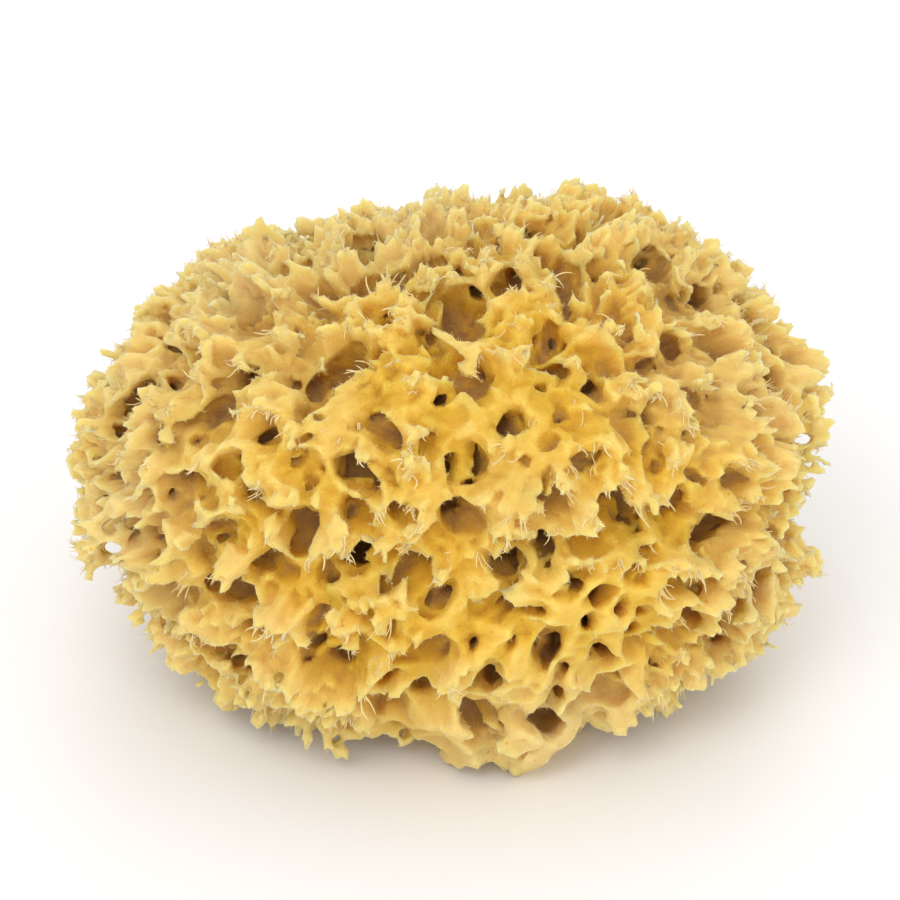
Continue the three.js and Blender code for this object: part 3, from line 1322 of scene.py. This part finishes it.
def store(piece: bpy.types.Object, name: str, values: np.ndarray) -> None:
    """Keeps a number for each point of a mesh under a name."""
    attribute = piece.data.attributes.new(name, "FLOAT", "POINT")
    attribute.data.foreach_set("value", values.astype(np.float32))


def corners_of(piece: bpy.types.Object) -> np.ndarray:
    """The points of a mesh, one a row.

    Args:
        piece: the object.

    Returns:
        Its points.
    """
    flat = np.empty(len(piece.data.vertices) * 3, np.float32)
    piece.data.vertices.foreach_get("co", flat)
    return flat.reshape(-1, 3)


@dataclass
class Exposure:
    """How much of the space round a point is solid, near by and further off, which sets its painted
    shade, and how pale it is: a painted glow round the show side's edge, with random pale patches.
    """

    block: VoxelBlock
    rng: np.random.Generator
    near_radius: float = 1.1
    wide_radius: float = 4.5
    edge_glow_pale: float = 0.62
    patch_pale: float = 0.14
    palest: float = 0.85
    coarse: VoxelBlock = field(init=False)
    near: np.ndarray = field(init=False)
    wide: np.ndarray = field(init=False)
    patches: np.ndarray = field(init=False)

    def __post_init__(self) -> None:
        """Blurs the solid at both sizes."""
        solid = np.clip(0.5 - self.block.air, 0, 1)
        even = [n // 2 * 2 for n in solid.shape]
        solid = solid[: even[0], : even[1], : even[2]]
        halved = sum(
            solid[i::2, j::2, k::2] for i in range(2) for j in range(2) for k in range(2)
        ) / 8
        step = 2 * self.block.step
        self.coarse = VoxelBlock(self.block.low + self.block.step / 2, self.block.high, step)
        self.near = blurred(halved, round(self.near_radius / step), 2)
        self.wide = blurred(halved, round(self.wide_radius / step), 2)
        self.patches = self.coarse.noise(24, self.rng)

    def near_at(self, points: np.ndarray) -> np.ndarray:
        """The solid share within about 2 mm."""
        return self.coarse.sample(self.near, points)

    def wide_at(self, points: np.ndarray) -> np.ndarray:
        """The solid share within about 7 mm."""
        return self.coarse.sample(self.wide, points)

    def glow_and_bleach_at(self, points: np.ndarray) -> np.ndarray:
        """How pale the tissue is, from 0 to 1: most round the edge of the show side and behind, a painted
        glow of light through the thin edge, with random pale patches; less in hollows.

        Args:
            points: places from the sponge's middle, one a row.

        Returns:
            The paleness at each.
        """
        # Paler where a place faces away from the show side: painted glow of light through the thin edge.
        # The noise adds random pale patches of the tissue's own tone.
        edge = 1 - shownness(points, 0.25, 0.85)
        open_share = 1 - smoothstep(self.wide_at(points), 0.44, 0.82)
        pale = self.edge_glow_pale * edge + self.patch_pale * self.coarse.sample(self.patches, points)
        return np.clip(pale, 0, self.palest) * open_share

    def outward(self, points: np.ndarray) -> np.ndarray:
        """The way out into the air, from the near share's slope.

        Args:
            points: places from the sponge's middle, one a row.

        Returns:
            The outward direction at each.
        """
        reach = 1.0
        slope = [
            self.near_at(points + reach * axis) - self.near_at(points - reach * axis)
            for axis in np.eye(3)
        ]
        return -unit(np.stack(slope, 1))


def blurred(values: np.ndarray, radius: int, times: int) -> np.ndarray:
    """Values averaged over a cube, more than once.

    Args:
        values: the values, in three dimensions.
        radius: half the cube's side.
        times: how often they are averaged.

    Returns:
        The smoother values.
    """
    size = 2 * radius + 1
    for _ in range(times):
        for axis in range(3):
            pad = [(0, 0)] * 3
            pad[axis] = (radius + 1, radius)
            total = np.cumsum(np.pad(values, pad, mode="edge"), axis=axis, dtype=np.float64)
            ahead = np.take(total, np.arange(size, total.shape[axis]), axis=axis)
            behind = np.take(total, np.arange(0, total.shape[axis] - size), axis=axis)
            values = ((ahead - behind) / size).astype(np.float32)
    return values


@dataclass
class Body:
    """The sponge's mass as one closed mesh."""

    block: VoxelBlock
    exposure: Exposure
    lift: Vector
    target: int = 198_000
    adaptivity: float = 0.1
    buried: float = 0.6
    care: float = 0.004

    def build(self) -> bpy.types.Object:
        """Meshes the voxels' surface and thins the mesh to its target, most of all where it is buried.

        Returns:
            The body's mesh object.
        """
        grid = openvdb.FloatGrid()
        grid.background = 1.0
        edged = np.clip(self.block.air, -1, 1)
        for axis in range(3):
            for side in (0, -1):
                index = [slice(None)] * 3
                index[axis] = side
                edged[tuple(index)] = 1
        grid.copyFromArray(edged)
        points, triangles, quads = grid.convertToPolygons(isovalue=0.0, adaptivity=self.adaptivity)
        faces = np.concatenate([quads, triangles[:, [0, 1, 2, 2]]]).astype(np.int64)
        points, faces = largest_piece(points, faces)
        points = points * self.block.step + self.block.low
        four = faces[:, 2] != faces[:, 3]
        corners = np.concatenate([faces[four].ravel(), faces[~four][:, :3].ravel()])
        counts = np.concatenate([np.full(four.sum(), 4), np.full((~four).sum(), 3)])
        piece = mesh_from("sponge_body", points, corners, counts)
        self.face_outward(piece)
        log.info("body meshed with %d points", len(points))
        self.thin(piece, points, int((counts - 2).sum()))
        self.place(piece)
        return piece

    def thin(self, piece: bpy.types.Object, points: np.ndarray, triangles: int) -> None:
        """Thins the mesh, still in millimetres, and takes more from the buried canals.

        Args:
            piece: the object.
            points: its corners.
            triangles: how many it has now.
        """
        buried = self.exposure.wide_at(points) > self.buried
        group = piece.vertex_groups.new(name="buried")
        group.add(np.flatnonzero(buried).tolist(), 1.0, "REPLACE")
        group.add(np.flatnonzero(~buried).tolist(), 0.5, "REPLACE")
        thin = piece.modifiers.new("thin", "DECIMATE")
        thin.ratio = min(1.0, self.target / triangles)
        thin.use_collapse_triangulate = True
        thin.vertex_group = "buried"
        thin.vertex_group_factor = self.care
        graph = bpy.context.evaluated_depsgraph_get()
        made = bpy.data.meshes.new_from_object(piece.evaluated_get(graph))
        piece.modifiers.clear()
        piece.vertex_groups.clear()
        piece.data = made
        made.polygons.foreach_set("use_smooth", np.ones(len(made.polygons), bool))

    def place(self, piece: bpy.types.Object) -> None:
        """Turns the mesh into metres where the sponge stands, with nothing below its cut.

        Args:
            piece: the object.
        """
        placed = corners_of(piece) * MM + np.array(self.lift)
        placed[:, 2] = np.maximum(placed[:, 2], self.lift.z + self.block.axes[2][3] * MM)
        piece.data.vertices.foreach_set("co", placed.astype(np.float32).ravel())
        piece.data.update()

    def face_outward(self, piece: bpy.types.Object) -> None:
        """Turns the faces round if they point inwards.

        Args:
            piece: the object.
        """
        mesh = piece.data
        centres = np.empty(len(mesh.polygons) * 3, np.float32)
        normals = np.empty(len(mesh.polygons) * 3, np.float32)
        mesh.polygons.foreach_get("center", centres)
        mesh.polygons.foreach_get("normal", normals)
        areas = np.empty(len(mesh.polygons), np.float32)
        mesh.polygons.foreach_get("area", areas)
        facing = (centres.reshape(-1, 3) * normals.reshape(-1, 3)).sum(1) @ areas
        if facing < 0:
            mesh.flip_normals()


@dataclass
class Strands:
    """Tapered, curling strands set on the sponge's surface as one mesh.

    Each strand is a three-sided tube that closes in a point.
    """

    name: str
    joints: int
    length: tuple[float, float]
    radius: tuple[float, float]
    curl: float
    sunk: float
    taper: float = 0.65
    fringe_length: float = 0.65
    fringe_radius: float = 0.6
    hook: float = 1.9
    sway: float = 0.25

    def build(
        self,
        roots: np.ndarray,
        ways: np.ndarray,
        bends: np.ndarray,
        lift: Vector,
        rng: np.random.Generator,
    ) -> tuple[bpy.types.Object, np.ndarray]:
        """Makes the mesh.

        Args:
            roots: where the strands stand, one a row.
            ways: the way each one leaves the surface.
            bends: the way each one curls towards.
            lift: the sponge's middle.
            rng: the source of chance.

        Returns:
            The object, and for each of its points the number of its strand.
        """
        count, joints = len(roots), self.joints
        third = unit(np.cross(ways, bends))
        side = np.cross(third, ways)
        length = self.length[0] + (self.length[1] - self.length[0]) * rng.random(count) ** 1.5
        shown = shownness(roots, 0.1, 0.6)
        length *= self.fringe_length + (1 - self.fringe_length) * shown
        thick = rng.uniform(*self.radius, count)
        thick *= self.fringe_radius + (1 - self.fringe_radius) * shown
        turn = np.abs(rng.normal(0, self.curl, count))
        share = np.linspace(0, 1, joints)
        angle = turn[:, None] * share[None, :] ** self.hook
        along = np.cos(angle)[..., None] * ways[:, None] + np.sin(angle)[..., None] * side[:, None]
        sway = rng.normal(0, self.sway, (count, 1, 1)) * np.sin(share * 5)[None, :, None] * third[:, None]
        steps = unit(along + sway) * (length / (joints - 1))[:, None, None]
        line = np.concatenate([np.zeros((count, 1, 3)), np.cumsum(steps[:, 1:], 1)], 1)
        line += (roots - ways * self.sunk)[:, None]
        normal = np.cos(angle)[..., None] * side[:, None] - np.sin(angle)[..., None] * ways[:, None]
        rings = []
        for corner in range(3):
            around = 2 * math.pi * corner / 3
            offset = math.cos(around) * normal + math.sin(around) * third[:, None]
            width = thick[:, None] * (1 - self.taper * share[None, :])
            rings.append(line + offset * width[..., None])
        tube = np.stack(rings, 2)[:, : joints - 1].reshape(count, -1, 3)
        points = np.concatenate([tube, line[:, -1:]], 1)
        each = points.shape[1]
        quads, tips = [], []
        for joint in range(joints - 2):
            for corner in range(3):
                a, b = 3 * joint + corner, 3 * joint + (corner + 1) % 3
                quads.append([a, b, b + 3, a + 3])
        last = 3 * (joints - 2)
        for corner in range(3):
            tips.append([last + corner, last + (corner + 1) % 3, each - 1])
        starts = (np.arange(count) * each)[:, None, None]
        three = (starts + np.array(tips)[None]).reshape(-1, 3)
        corners, counts = three.ravel(), np.full(len(three), 3)
        if quads:
            four = (starts + np.array(quads)[None]).reshape(-1, 4)
            corners = np.concatenate([four.ravel(), corners])
            counts = np.concatenate([np.full(len(four), 4), counts])
        points = points.reshape(-1, 3) * MM + np.array(lift)
        points[:, 2] = np.maximum(points[:, 2], 0.00005)
        piece = mesh_from(self.name, points, corners, counts)
        return piece, np.repeat(np.arange(count), each)


def tipmost(points: np.ndarray, near: np.ndarray, cell: float) -> np.ndarray:
    """Thins points to one in each cell of a grid, the one that stands out most.

    Args:
        points: the points, one a row.
        near: the solid share round each.
        cell: the cells' size.

    Returns:
        The numbers of the points kept.
    """
    order = np.argsort(near)
    cells = np.floor(points[order] / cell).astype(int)
    cells -= cells.min(0)
    size = cells.max(0) + 1
    key = (cells[:, 0] * size[1] + cells[:, 1]) * size[2] + cells[:, 2]
    _, first = np.unique(key, return_index=True)
    return order[first]


class Lamp(Enum):
    """The studio's lamps: (name, place from the sponge's middle in metres, side, power in watts)."""

    KEY = ("key", (-0.2, -0.55, 0.7), 0.45, 2.3)
    FILL = ("fill", (0.45, -0.8, 0.3), 0.7, 1.5)
    BACK = ("back", (0.1, 0.8, 0.6), 0.6, 1.4)


@dataclass
class Studio:
    """A pale floor, soft light and a long lens at the show direction."""

    middle: Vector
    across: float = 0.1625
    distance: float = 1.5
    rise: float = 0.0065
    film: float = 36.0
    floor_side: float = 3.0
    floor_white: float = 0.9
    world_light: float = 0.95

    def camera(self) -> None:
        """Sets the camera up, looking a little above the sponge's middle."""
        lens = bpy.data.cameras.new("camera")
        lens.sensor_width = self.film
        lens.lens = lens.sensor_width * self.distance / self.across
        lens.clip_end = 10
        held = bpy.data.objects.new("camera", lens)
        target = self.middle + Vector(UP) * self.rise
        held.location = target + Vector(TOWARDS) * self.distance
        held.rotation_euler = (target - held.location).to_track_quat("-Z", "Y").to_euler()
        bpy.context.scene.collection.objects.link(held)
        bpy.context.scene.camera = held

    def hang(self, lamp: Lamp) -> None:
        """Adds a soft square lamp that faces the sponge.

        Args:
            lamp: which one.
        """
        name, place, size, power = lamp.value
        light = bpy.data.lights.new(name, "AREA")
        light.size = size
        light.energy = power
        held = bpy.data.objects.new(name, light)
        held.location = self.middle + Vector(place)
        held.rotation_euler = (-Vector(place)).to_track_quat("-Z", "Y").to_euler()
        bpy.context.scene.collection.objects.link(held)

    def floor(self) -> None:
        """Lays a wide pale floor under the sponge."""
        side = self.floor_side
        points = np.array([[-side, -side, 0], [side, -side, 0], [side, side, 0], [-side, side, 0]])
        piece = mesh_from("floor", points, np.arange(4), np.array([4]))
        material = bpy.data.materials.new("floor_paper")
        material.use_nodes = True
        shader = material.node_tree.nodes["Principled BSDF"]
        shader.inputs["Base Color"].default_value = (*[self.floor_white] * 3, 1)
        shader.inputs["Roughness"].default_value = 0.9
        piece.data.materials.append(material)

    def world(self) -> None:
        """Fills in with even white light."""
        world = bpy.data.worlds.new("world")
        world.use_nodes = True
        world.node_tree.nodes["Background"].inputs["Color"].default_value = (1, 1, 1, 1)
        world.node_tree.nodes["Background"].inputs["Strength"].default_value = self.world_light
        bpy.context.scene.world = world

    def build(self) -> None:
        """Sets everything round the sponge up."""
        self.camera()
        self.floor()
        self.world()
        for lamp in Lamp:
            self.hang(lamp)
        bpy.context.scene.view_settings.view_transform = "Standard"


def link(tree: bpy.types.NodeTree, source: bpy.types.NodeSocket, target: bpy.types.NodeSocket) -> None:
    """Joins two sockets."""
    tree.links.new(source, target)


@dataclass(frozen=True)
class Striae:
    """The fine lines of fibre that run outward over the tissue."""

    scale: float = 95.0
    detail: float = 2.0

    def group(self) -> bpy.types.NodeTree:
        """The node group whose value is 0 to 1 across the lines.

        Returns:
            The group, with a Value output.
        """
        tree = bpy.data.node_groups.new("outward_striae", "ShaderNodeTree")
        tree.interface.new_socket("Value", in_out="OUTPUT", socket_type="NodeSocketFloat")
        outlet = tree.nodes.new("NodeGroupOutput")
        place = tree.nodes.new("ShaderNodeTexCoord")
        ways = tree.nodes.new("ShaderNodeVectorMath")
        ways.operation = "SUBTRACT"
        link(tree, place.outputs["Object"], ways.inputs[0])
        ways.inputs[1].default_value = (0, 0.006, 0.047)
        length = tree.nodes.new("ShaderNodeVectorMath")
        length.operation = "NORMALIZE"
        link(tree, ways.outputs["Vector"], length.inputs[0])
        noise = tree.nodes.new("ShaderNodeTexNoise")
        noise.inputs["Scale"].default_value = self.scale
        noise.inputs["Detail"].default_value = self.detail
        link(tree, length.outputs["Vector"], noise.inputs["Vector"])
        link(tree, noise.outputs["Fac"], outlet.inputs["Value"])
        return tree


@dataclass(frozen=True)
class Tone:
    """The sponge's colours, from its thin tips to the painted shade of its hollows and canals."""

    # tip to deep: painted shade, darker the more tissue stands round a point, down to the canals' depths.
    tip: tuple[float, float, float] = (0.76, 0.53, 0.16)
    crest: tuple[float, float, float] = (0.745, 0.49, 0.095)
    wall: tuple[float, float, float] = (0.70, 0.42, 0.043)
    hollow_shade: tuple[float, float, float] = (0.59, 0.31, 0.019)
    # deep: the painted shade deep in the canals.
    deep: tuple[float, float, float] = (0.50, 0.28, 0.095)
    # pale: the colour of the painted glow round the show side's edge and of random pale patches.
    pale: tuple[float, float, float] = (0.715, 0.54, 0.235)
    stops: tuple[float, ...] = (0.12, 0.25, 0.40, 0.58, 0.82)
    near_share: float = 0.35
    mottles: tuple[tuple[float, float, float], ...] = ((90, 2, 0.14), (450, 1, 0.12))
    line_share: float = 0.14
    glow_and_bleach_lines: float = 0.5
    # Pinholes: specks in the hollows' shade colour, in patches, painted shade of pores that the mesh
    # doesn't have.
    pinhole_scale: float = 420.0
    pinhole_patch: float = 0.53
    pinhole_patch_edge: float = 9.0
    pinhole_size: float = 0.16
    pinhole_edge: float = 14.0
    pinhole_shade: float = 0.7

    def group(self, striae: bpy.types.NodeTree) -> bpy.types.NodeTree:
        """The node group that colours every piece by how far it stands out, painting shade into its
        hollows and canals.

        Args:
            striae: the group of fine lines.

        Returns:
            The group, with a Color output.
        """
        tree = bpy.data.node_groups.new("tissue_tone", "ShaderNodeTree")
        face = tree.interface
        for name in ("Wide", "Near", "Bleach"):
            face.new_socket(name, in_out="INPUT", socket_type="NodeSocketFloat")
        face.new_socket("Color", in_out="OUTPUT", socket_type="NodeSocketColor")
        inlet = tree.nodes.new("NodeGroupInput")
        outlet = tree.nodes.new("NodeGroupOutput")
        place = tree.nodes.new("ShaderNodeTexCoord").outputs["Object"]
        lines = tree.nodes.new("ShaderNodeGroup")
        lines.node_tree = striae

        def noise(scale: float, detail: float) -> bpy.types.NodeSocket:
            """A noise texture's value.

            Args:
                scale: how fine it is.
                detail: how many finer layers it has.

            Returns:
                The value's socket.
            """
            node = tree.nodes.new("ShaderNodeTexNoise")
            node.inputs["Scale"].default_value = scale
            node.inputs["Detail"].default_value = detail
            link(tree, place, node.inputs["Vector"])
            return node.outputs["Fac"]

        def math_node(operation: str, *values: bpy.types.NodeSocket | float) -> bpy.types.NodeSocket:
            """A math node of sockets and numbers.

            Args:
                operation: what it does.
                *values: its inputs in order.

            Returns:
                The result's socket.
            """
            node = tree.nodes.new("ShaderNodeMath")
            node.operation = operation
            for socket, value in zip(node.inputs, values):
                if isinstance(value, (int, float)):
                    socket.default_value = value
                else:
                    link(tree, value, socket)
            return node.outputs[0]

        def added(
            first: bpy.types.NodeSocket, second: bpy.types.NodeSocket, share: float
        ) -> bpy.types.NodeSocket:
            """First plus a share of second counted from a half."""
            return math_node("MULTIPLY_ADD", math_node("SUBTRACT", second, 0.5), share, first)

        # The level rises with the solid share round a point, so the ramp paints shade: pale on open tips,
        # dark brown deep in the canals.
        level = added(inlet.outputs["Wide"], inlet.outputs["Near"], self.near_share)
        for scale, detail, share in self.mottles:
            level = added(level, noise(scale, detail), share)
        level = added(level, lines.outputs["Value"], self.line_share)
        ramp = tree.nodes.new("ShaderNodeValToRGB")
        colours = (self.tip, self.crest, self.wall, self.hollow_shade, self.deep)
        elements = ramp.color_ramp.elements
        while len(elements) < len(colours):
            elements.new(0.5)
        for element, stop, colour in zip(elements, self.stops, colours):
            element.position = stop
            element.color = (*colour, 1)
        link(tree, level, ramp.inputs["Fac"])
        # Mixes in the pale colour: the painted glow round the show side's edge, with random pale patches.
        pale = tree.nodes.new("ShaderNodeMix")
        pale.data_type = "RGBA"
        glow_and_bleach_share = added(inlet.outputs["Bleach"], lines.outputs["Value"], self.glow_and_bleach_lines)
        link(tree, glow_and_bleach_share, pale.inputs["Factor"])
        link(tree, ramp.outputs["Color"], pale.inputs["A"])
        pale.inputs["B"].default_value = (*self.pale, 1)
        # Pinholes: specks in the hollows' shade colour, painted shade of pores that the mesh doesn't
        # have.
        specks = tree.nodes.new("ShaderNodeTexVoronoi")
        specks.inputs["Scale"].default_value = self.pinhole_scale
        link(tree, place, specks.inputs["Vector"])
        patch = math_node("SUBTRACT", noise(70, 1), self.pinhole_patch)
        patch = math_node("MAXIMUM", math_node("MULTIPLY", patch, self.pinhole_patch_edge), 0.0)
        size = math_node("MULTIPLY", math_node("MINIMUM", patch, 1.0), self.pinhole_size)
        hole = math_node("SUBTRACT", size, specks.outputs["Distance"])
        hole = math_node("MAXIMUM", math_node("MULTIPLY", hole, self.pinhole_edge), 0.0)
        pinhole_shade_mask = math_node("MINIMUM", hole, self.pinhole_shade)
        pinhole_shaded = tree.nodes.new("ShaderNodeMix")
        pinhole_shaded.data_type = "RGBA"
        link(tree, pinhole_shade_mask, pinhole_shaded.inputs["Factor"])
        link(tree, pale.outputs["Result"], pinhole_shaded.inputs["A"])
        pinhole_shaded.inputs["B"].default_value = (*self.hollow_shade, 1)
        link(tree, pinhole_shaded.outputs["Result"], outlet.inputs["Color"])
        return tree


@dataclass(frozen=True)
class Finish:
    """A dry horny fibre: matt, soft and a little translucent."""

    name: str
    roughness: float
    translucence: float
    grain: float
    lines: float
    cream: float = 0.0
    specular: float = 0.2
    glow_radius: tuple[float, float, float] = (1.0, 0.84, 0.45)
    glow_scale: float = 0.005
    grain_scale: float = 1400.0

    def make(self, tone: bpy.types.NodeTree, striae: bpy.types.NodeTree) -> bpy.types.Material:
        """Builds the material round the shared colours.

        Args:
            tone: the group that gives the colours.
            striae: the group of fine lines.

        Returns:
            The material.
        """
        material = bpy.data.materials.new(self.name)
        material.use_nodes = True
        tree = material.node_tree
        shader = tree.nodes["Principled BSDF"]
        shader.inputs["Roughness"].default_value = self.roughness
        shader.inputs["Specular IOR Level"].default_value = self.specular
        shader.inputs["Subsurface Weight"].default_value = self.translucence
        shader.inputs["Subsurface Radius"].default_value = self.glow_radius
        shader.inputs["Subsurface Scale"].default_value = self.glow_scale
        colour = tree.nodes.new("ShaderNodeGroup")
        colour.node_tree = tone
        # The attributes carry the solid shares for the painted shade, and the paleness of the painted
        # glow.
        for name in ("wide", "near", "bleach"):
            attribute = tree.nodes.new("ShaderNodeAttribute")
            attribute.attribute_name = name
            link(tree, attribute.outputs["Fac"], colour.inputs[name.capitalize()])
        link(tree, self.creamed(tree, colour.outputs["Color"]), shader.inputs["Base Color"])
        if self.grain > 0:
            place = tree.nodes.new("ShaderNodeTexCoord")
            grain = tree.nodes.new("ShaderNodeTexNoise")
            grain.inputs["Scale"].default_value = self.grain_scale
            grain.inputs["Detail"].default_value = 2
            grain.inputs["Roughness"].default_value = 0.65
            link(tree, place.outputs["Object"], grain.inputs["Vector"])
            lines = tree.nodes.new("ShaderNodeGroup")
            lines.node_tree = striae
            ridged = tree.nodes.new("ShaderNodeBump")
            ridged.inputs["Strength"].default_value = self.lines
            ridged.inputs["Distance"].default_value = 0.0006
            link(tree, lines.outputs["Value"], ridged.inputs["Height"])
            bump = tree.nodes.new("ShaderNodeBump")
            bump.inputs["Strength"].default_value = self.grain
            bump.inputs["Distance"].default_value = 0.0004
            link(tree, grain.outputs["Fac"], bump.inputs["Height"])
            link(tree, ridged.outputs["Normal"], bump.inputs["Normal"])
            link(tree, bump.outputs["Normal"], shader.inputs["Normal"])
        return material

    def creamed(self, tree: bpy.types.NodeTree, colour: bpy.types.NodeSocket) -> bpy.types.NodeSocket:
        """The colour with this finish's share of cream mixed in.

        Args:
            tree: the material's nodes.
            colour: the colour to mix into.

        Returns:
            The mixed colour.
        """
        if self.cream == 0:
            return colour
        mix = tree.nodes.new("ShaderNodeMix")
        mix.data_type = "RGBA"
        mix.inputs["Factor"].default_value = self.cream
        link(tree, colour, mix.inputs["A"])
        mix.inputs["B"].default_value = (*CREAM, 1)
        return mix.outputs["Result"]


@dataclass
class Sponge:
    """The whole sponge: its body, and the fibres that fray from it."""

    lift: Vector
    mass: Mass
    rng: np.random.Generator
    exposure: Exposure = field(init=False)
    block: VoxelBlock = field(init=False)
    leaves: Blades = field(init=False)
    points: np.ndarray = field(init=False)
    near: np.ndarray = field(init=False)
    near_points: KDTree = field(init=False)

    def grow(self) -> None:
        """Grows the voxels and blurs them for the colours' painted shade and painted glow."""
        self.block, self.leaves = Growth(self.mass, self.rng).grow()
        log.info("grown")
        self.exposure = Exposure(self.block, self.rng)

    def body(self, finish: bpy.types.Material) -> bpy.types.Object:
        """Builds and dresses the body.

        Args:
            finish: its material.

        Returns:
            The body's mesh object.
        """
        piece = Body(self.block, self.exposure, self.lift).build()
        self.points = (corners_of(piece) - np.array(self.lift)) / MM
        self.near = self.exposure.near_at(self.points)
        self.near_points = KDTree(len(self.points))
        for number, point in enumerate(self.points):
            self.near_points.insert(point, number)
        self.near_points.balance()
        self.dress(piece, self.points, finish, 0.0)
        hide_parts(NODE)
        return piece

    def on_body(self, roots: np.ndarray) -> np.ndarray:
        """Which places have the body's surface close by."""
        return np.array([self.near_points.find(root)[2] < 1.5 for root in roots])

    def dress(
        self, piece: bpy.types.Object, sites: np.ndarray, finish: bpy.types.Material, extra: float
    ) -> None:
        """Colours a piece, gives it its finish and fixes it to the sponge.

        Args:
            piece: the object.
            sites: for each of its points, the place on the surface that it takes its colour from.
            finish: its material.
            extra: how much paler than the surface it is.
        """
        # The solid shares set the painted shade; the third value is the painted glow round the show
        # side's edge, plus extra for paler pieces.
        store(piece, "near", self.exposure.near_at(sites))
        store(piece, "wide", self.exposure.wide_at(sites))
        store(piece, "bleach", np.clip(self.exposure.glow_and_bleach_at(sites) + extra, 0, 1))
        piece.data.materials.clear()
        piece.data.materials.append(finish)
        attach(piece, BODY)
        log.info("%s: %d faces", piece.name, len(piece.data.polygons))

    def frayed(
        self,
        strands: Strands,
        most: int,
        rims: tuple[float, float, float],
        finish: bpy.types.Material,
        extra: float,
    ) -> None:
        """Sets strands along the rims of the leaves.

        Args:
            strands: what they are like.
            most: how many there may be.
            rims: strands to a millimetre, the share on the teeth, and how much their ways differ.
            finish: their material.
            extra: how much paler than the surface they are.
        """
        roots, ways, bends = Fray(self.leaves, self.block, self.rng).sites(*rims)
        log.info("%s: %d sites", strands.name, len(roots))
        picked = self.rng.permutation(np.flatnonzero(self.on_body(roots)))[:most]
        roots, ways, bends = roots[picked], ways[picked], bends[picked]
        piece, owner = strands.build(roots, ways, bends, self.lift, self.rng)
        self.dress(piece, roots[owner], finish, extra)

    def napped(
        self,
        strands: Strands,
        most: int,
        near_below: float,
        cell: float,
        bunch: int,
        finish: bpy.types.Material,
        extra: float,
    ) -> None:
        """Sets short strands all over the open surface.

        Args:
            strands: what they are like.
            most: how many there may be.
            near_below: they stand where the solid share near by is below this.
            cell: how far apart their bunches are.
            bunch: how many stand together.
            finish: their material.
            extra: how much paler than the surface they are.
        """
        outer = self.exposure.wide_at(self.points) < 0.5
        outer &= self.points[:, 2] > -self.mass.cut_below + 0.8
        pick = np.flatnonzero(outer & (self.near < near_below))
        sites = pick[tipmost(self.points[pick], self.near[pick], cell)]
        log.info("%s: %d sites", strands.name, len(sites))
        sites = self.rng.permutation(sites)[: most // bunch]
        rows = np.repeat(sites, bunch)
        out = self.exposure.outward(self.points[rows])
        spread = self.rng.normal(0, 1, (len(rows), 3))
        roots = self.points[rows] + 0.3 * spread * (1 - np.abs(out)) * min(cell, 1)
        ways = unit(out + 0.45 * self.rng.normal(0, 1, (len(rows), 3)))
        bends = self.rng.normal(0, 1, (len(rows), 3))
        piece, owner = strands.build(roots, ways, bends, self.lift, self.rng)
        self.dress(piece, roots[owner], finish, extra)


def main() -> None:
    """Builds the sponge and its studio."""
    logging.basicConfig(level=logging.INFO, format="%(relativeCreated)7.0f ms  %(message)s")
    low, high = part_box(NODE)
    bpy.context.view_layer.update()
    rng = np.random.default_rng(SEED)
    mass = Mass()
    lift = Vector(((low.x + high.x) / 2, (low.y + high.y) / 2, low.z + mass.cut_below * MM))
    Studio(lift).build()
    striae = Striae().group()
    tone = Tone().group(striae)
    flesh = Finish("sponge_flesh", 0.9, 0.85, 0.55, 0.6).make(tone, striae)
    fibre = Finish("frayed_fibre", 0.7, 0.0, 0.0, 0.0, 0.6).make(tone, striae)
    sponge = Sponge(lift, mass, rng)
    sponge.grow()
    sponge.body(flesh)
    sponge.frayed(Strands("frayed_prongs", 5, (1.6, 3.2), (0.20, 0.38), 0.6, 0.5, 0.85), 9000,
                  (1.3, 0.85, 0.16), fibre, 0.3)
    sponge.frayed(Strands("frayed_fibres", 7, (2.3, 5.2), (0.13, 0.23), 1.5, 0.3, 0.5), 5700,
                  (2.4, 0.7, 0.22), fibre, 0.9)
    sponge.napped(Strands("crest_bristles", 3, (0.5, 1.3), (0.045, 0.08), 0.5, 0.2), 20500,
                  0.42, 0.8, 2, fibre, 0.25)
    sponge.napped(Strands("nap", 2, (0.25, 0.7), (0.03, 0.05), 0.0, 0.1), 62000,
                  0.7, 0.5, 3, fibre, 0.1)


if __name__ == "__main__":
    main()
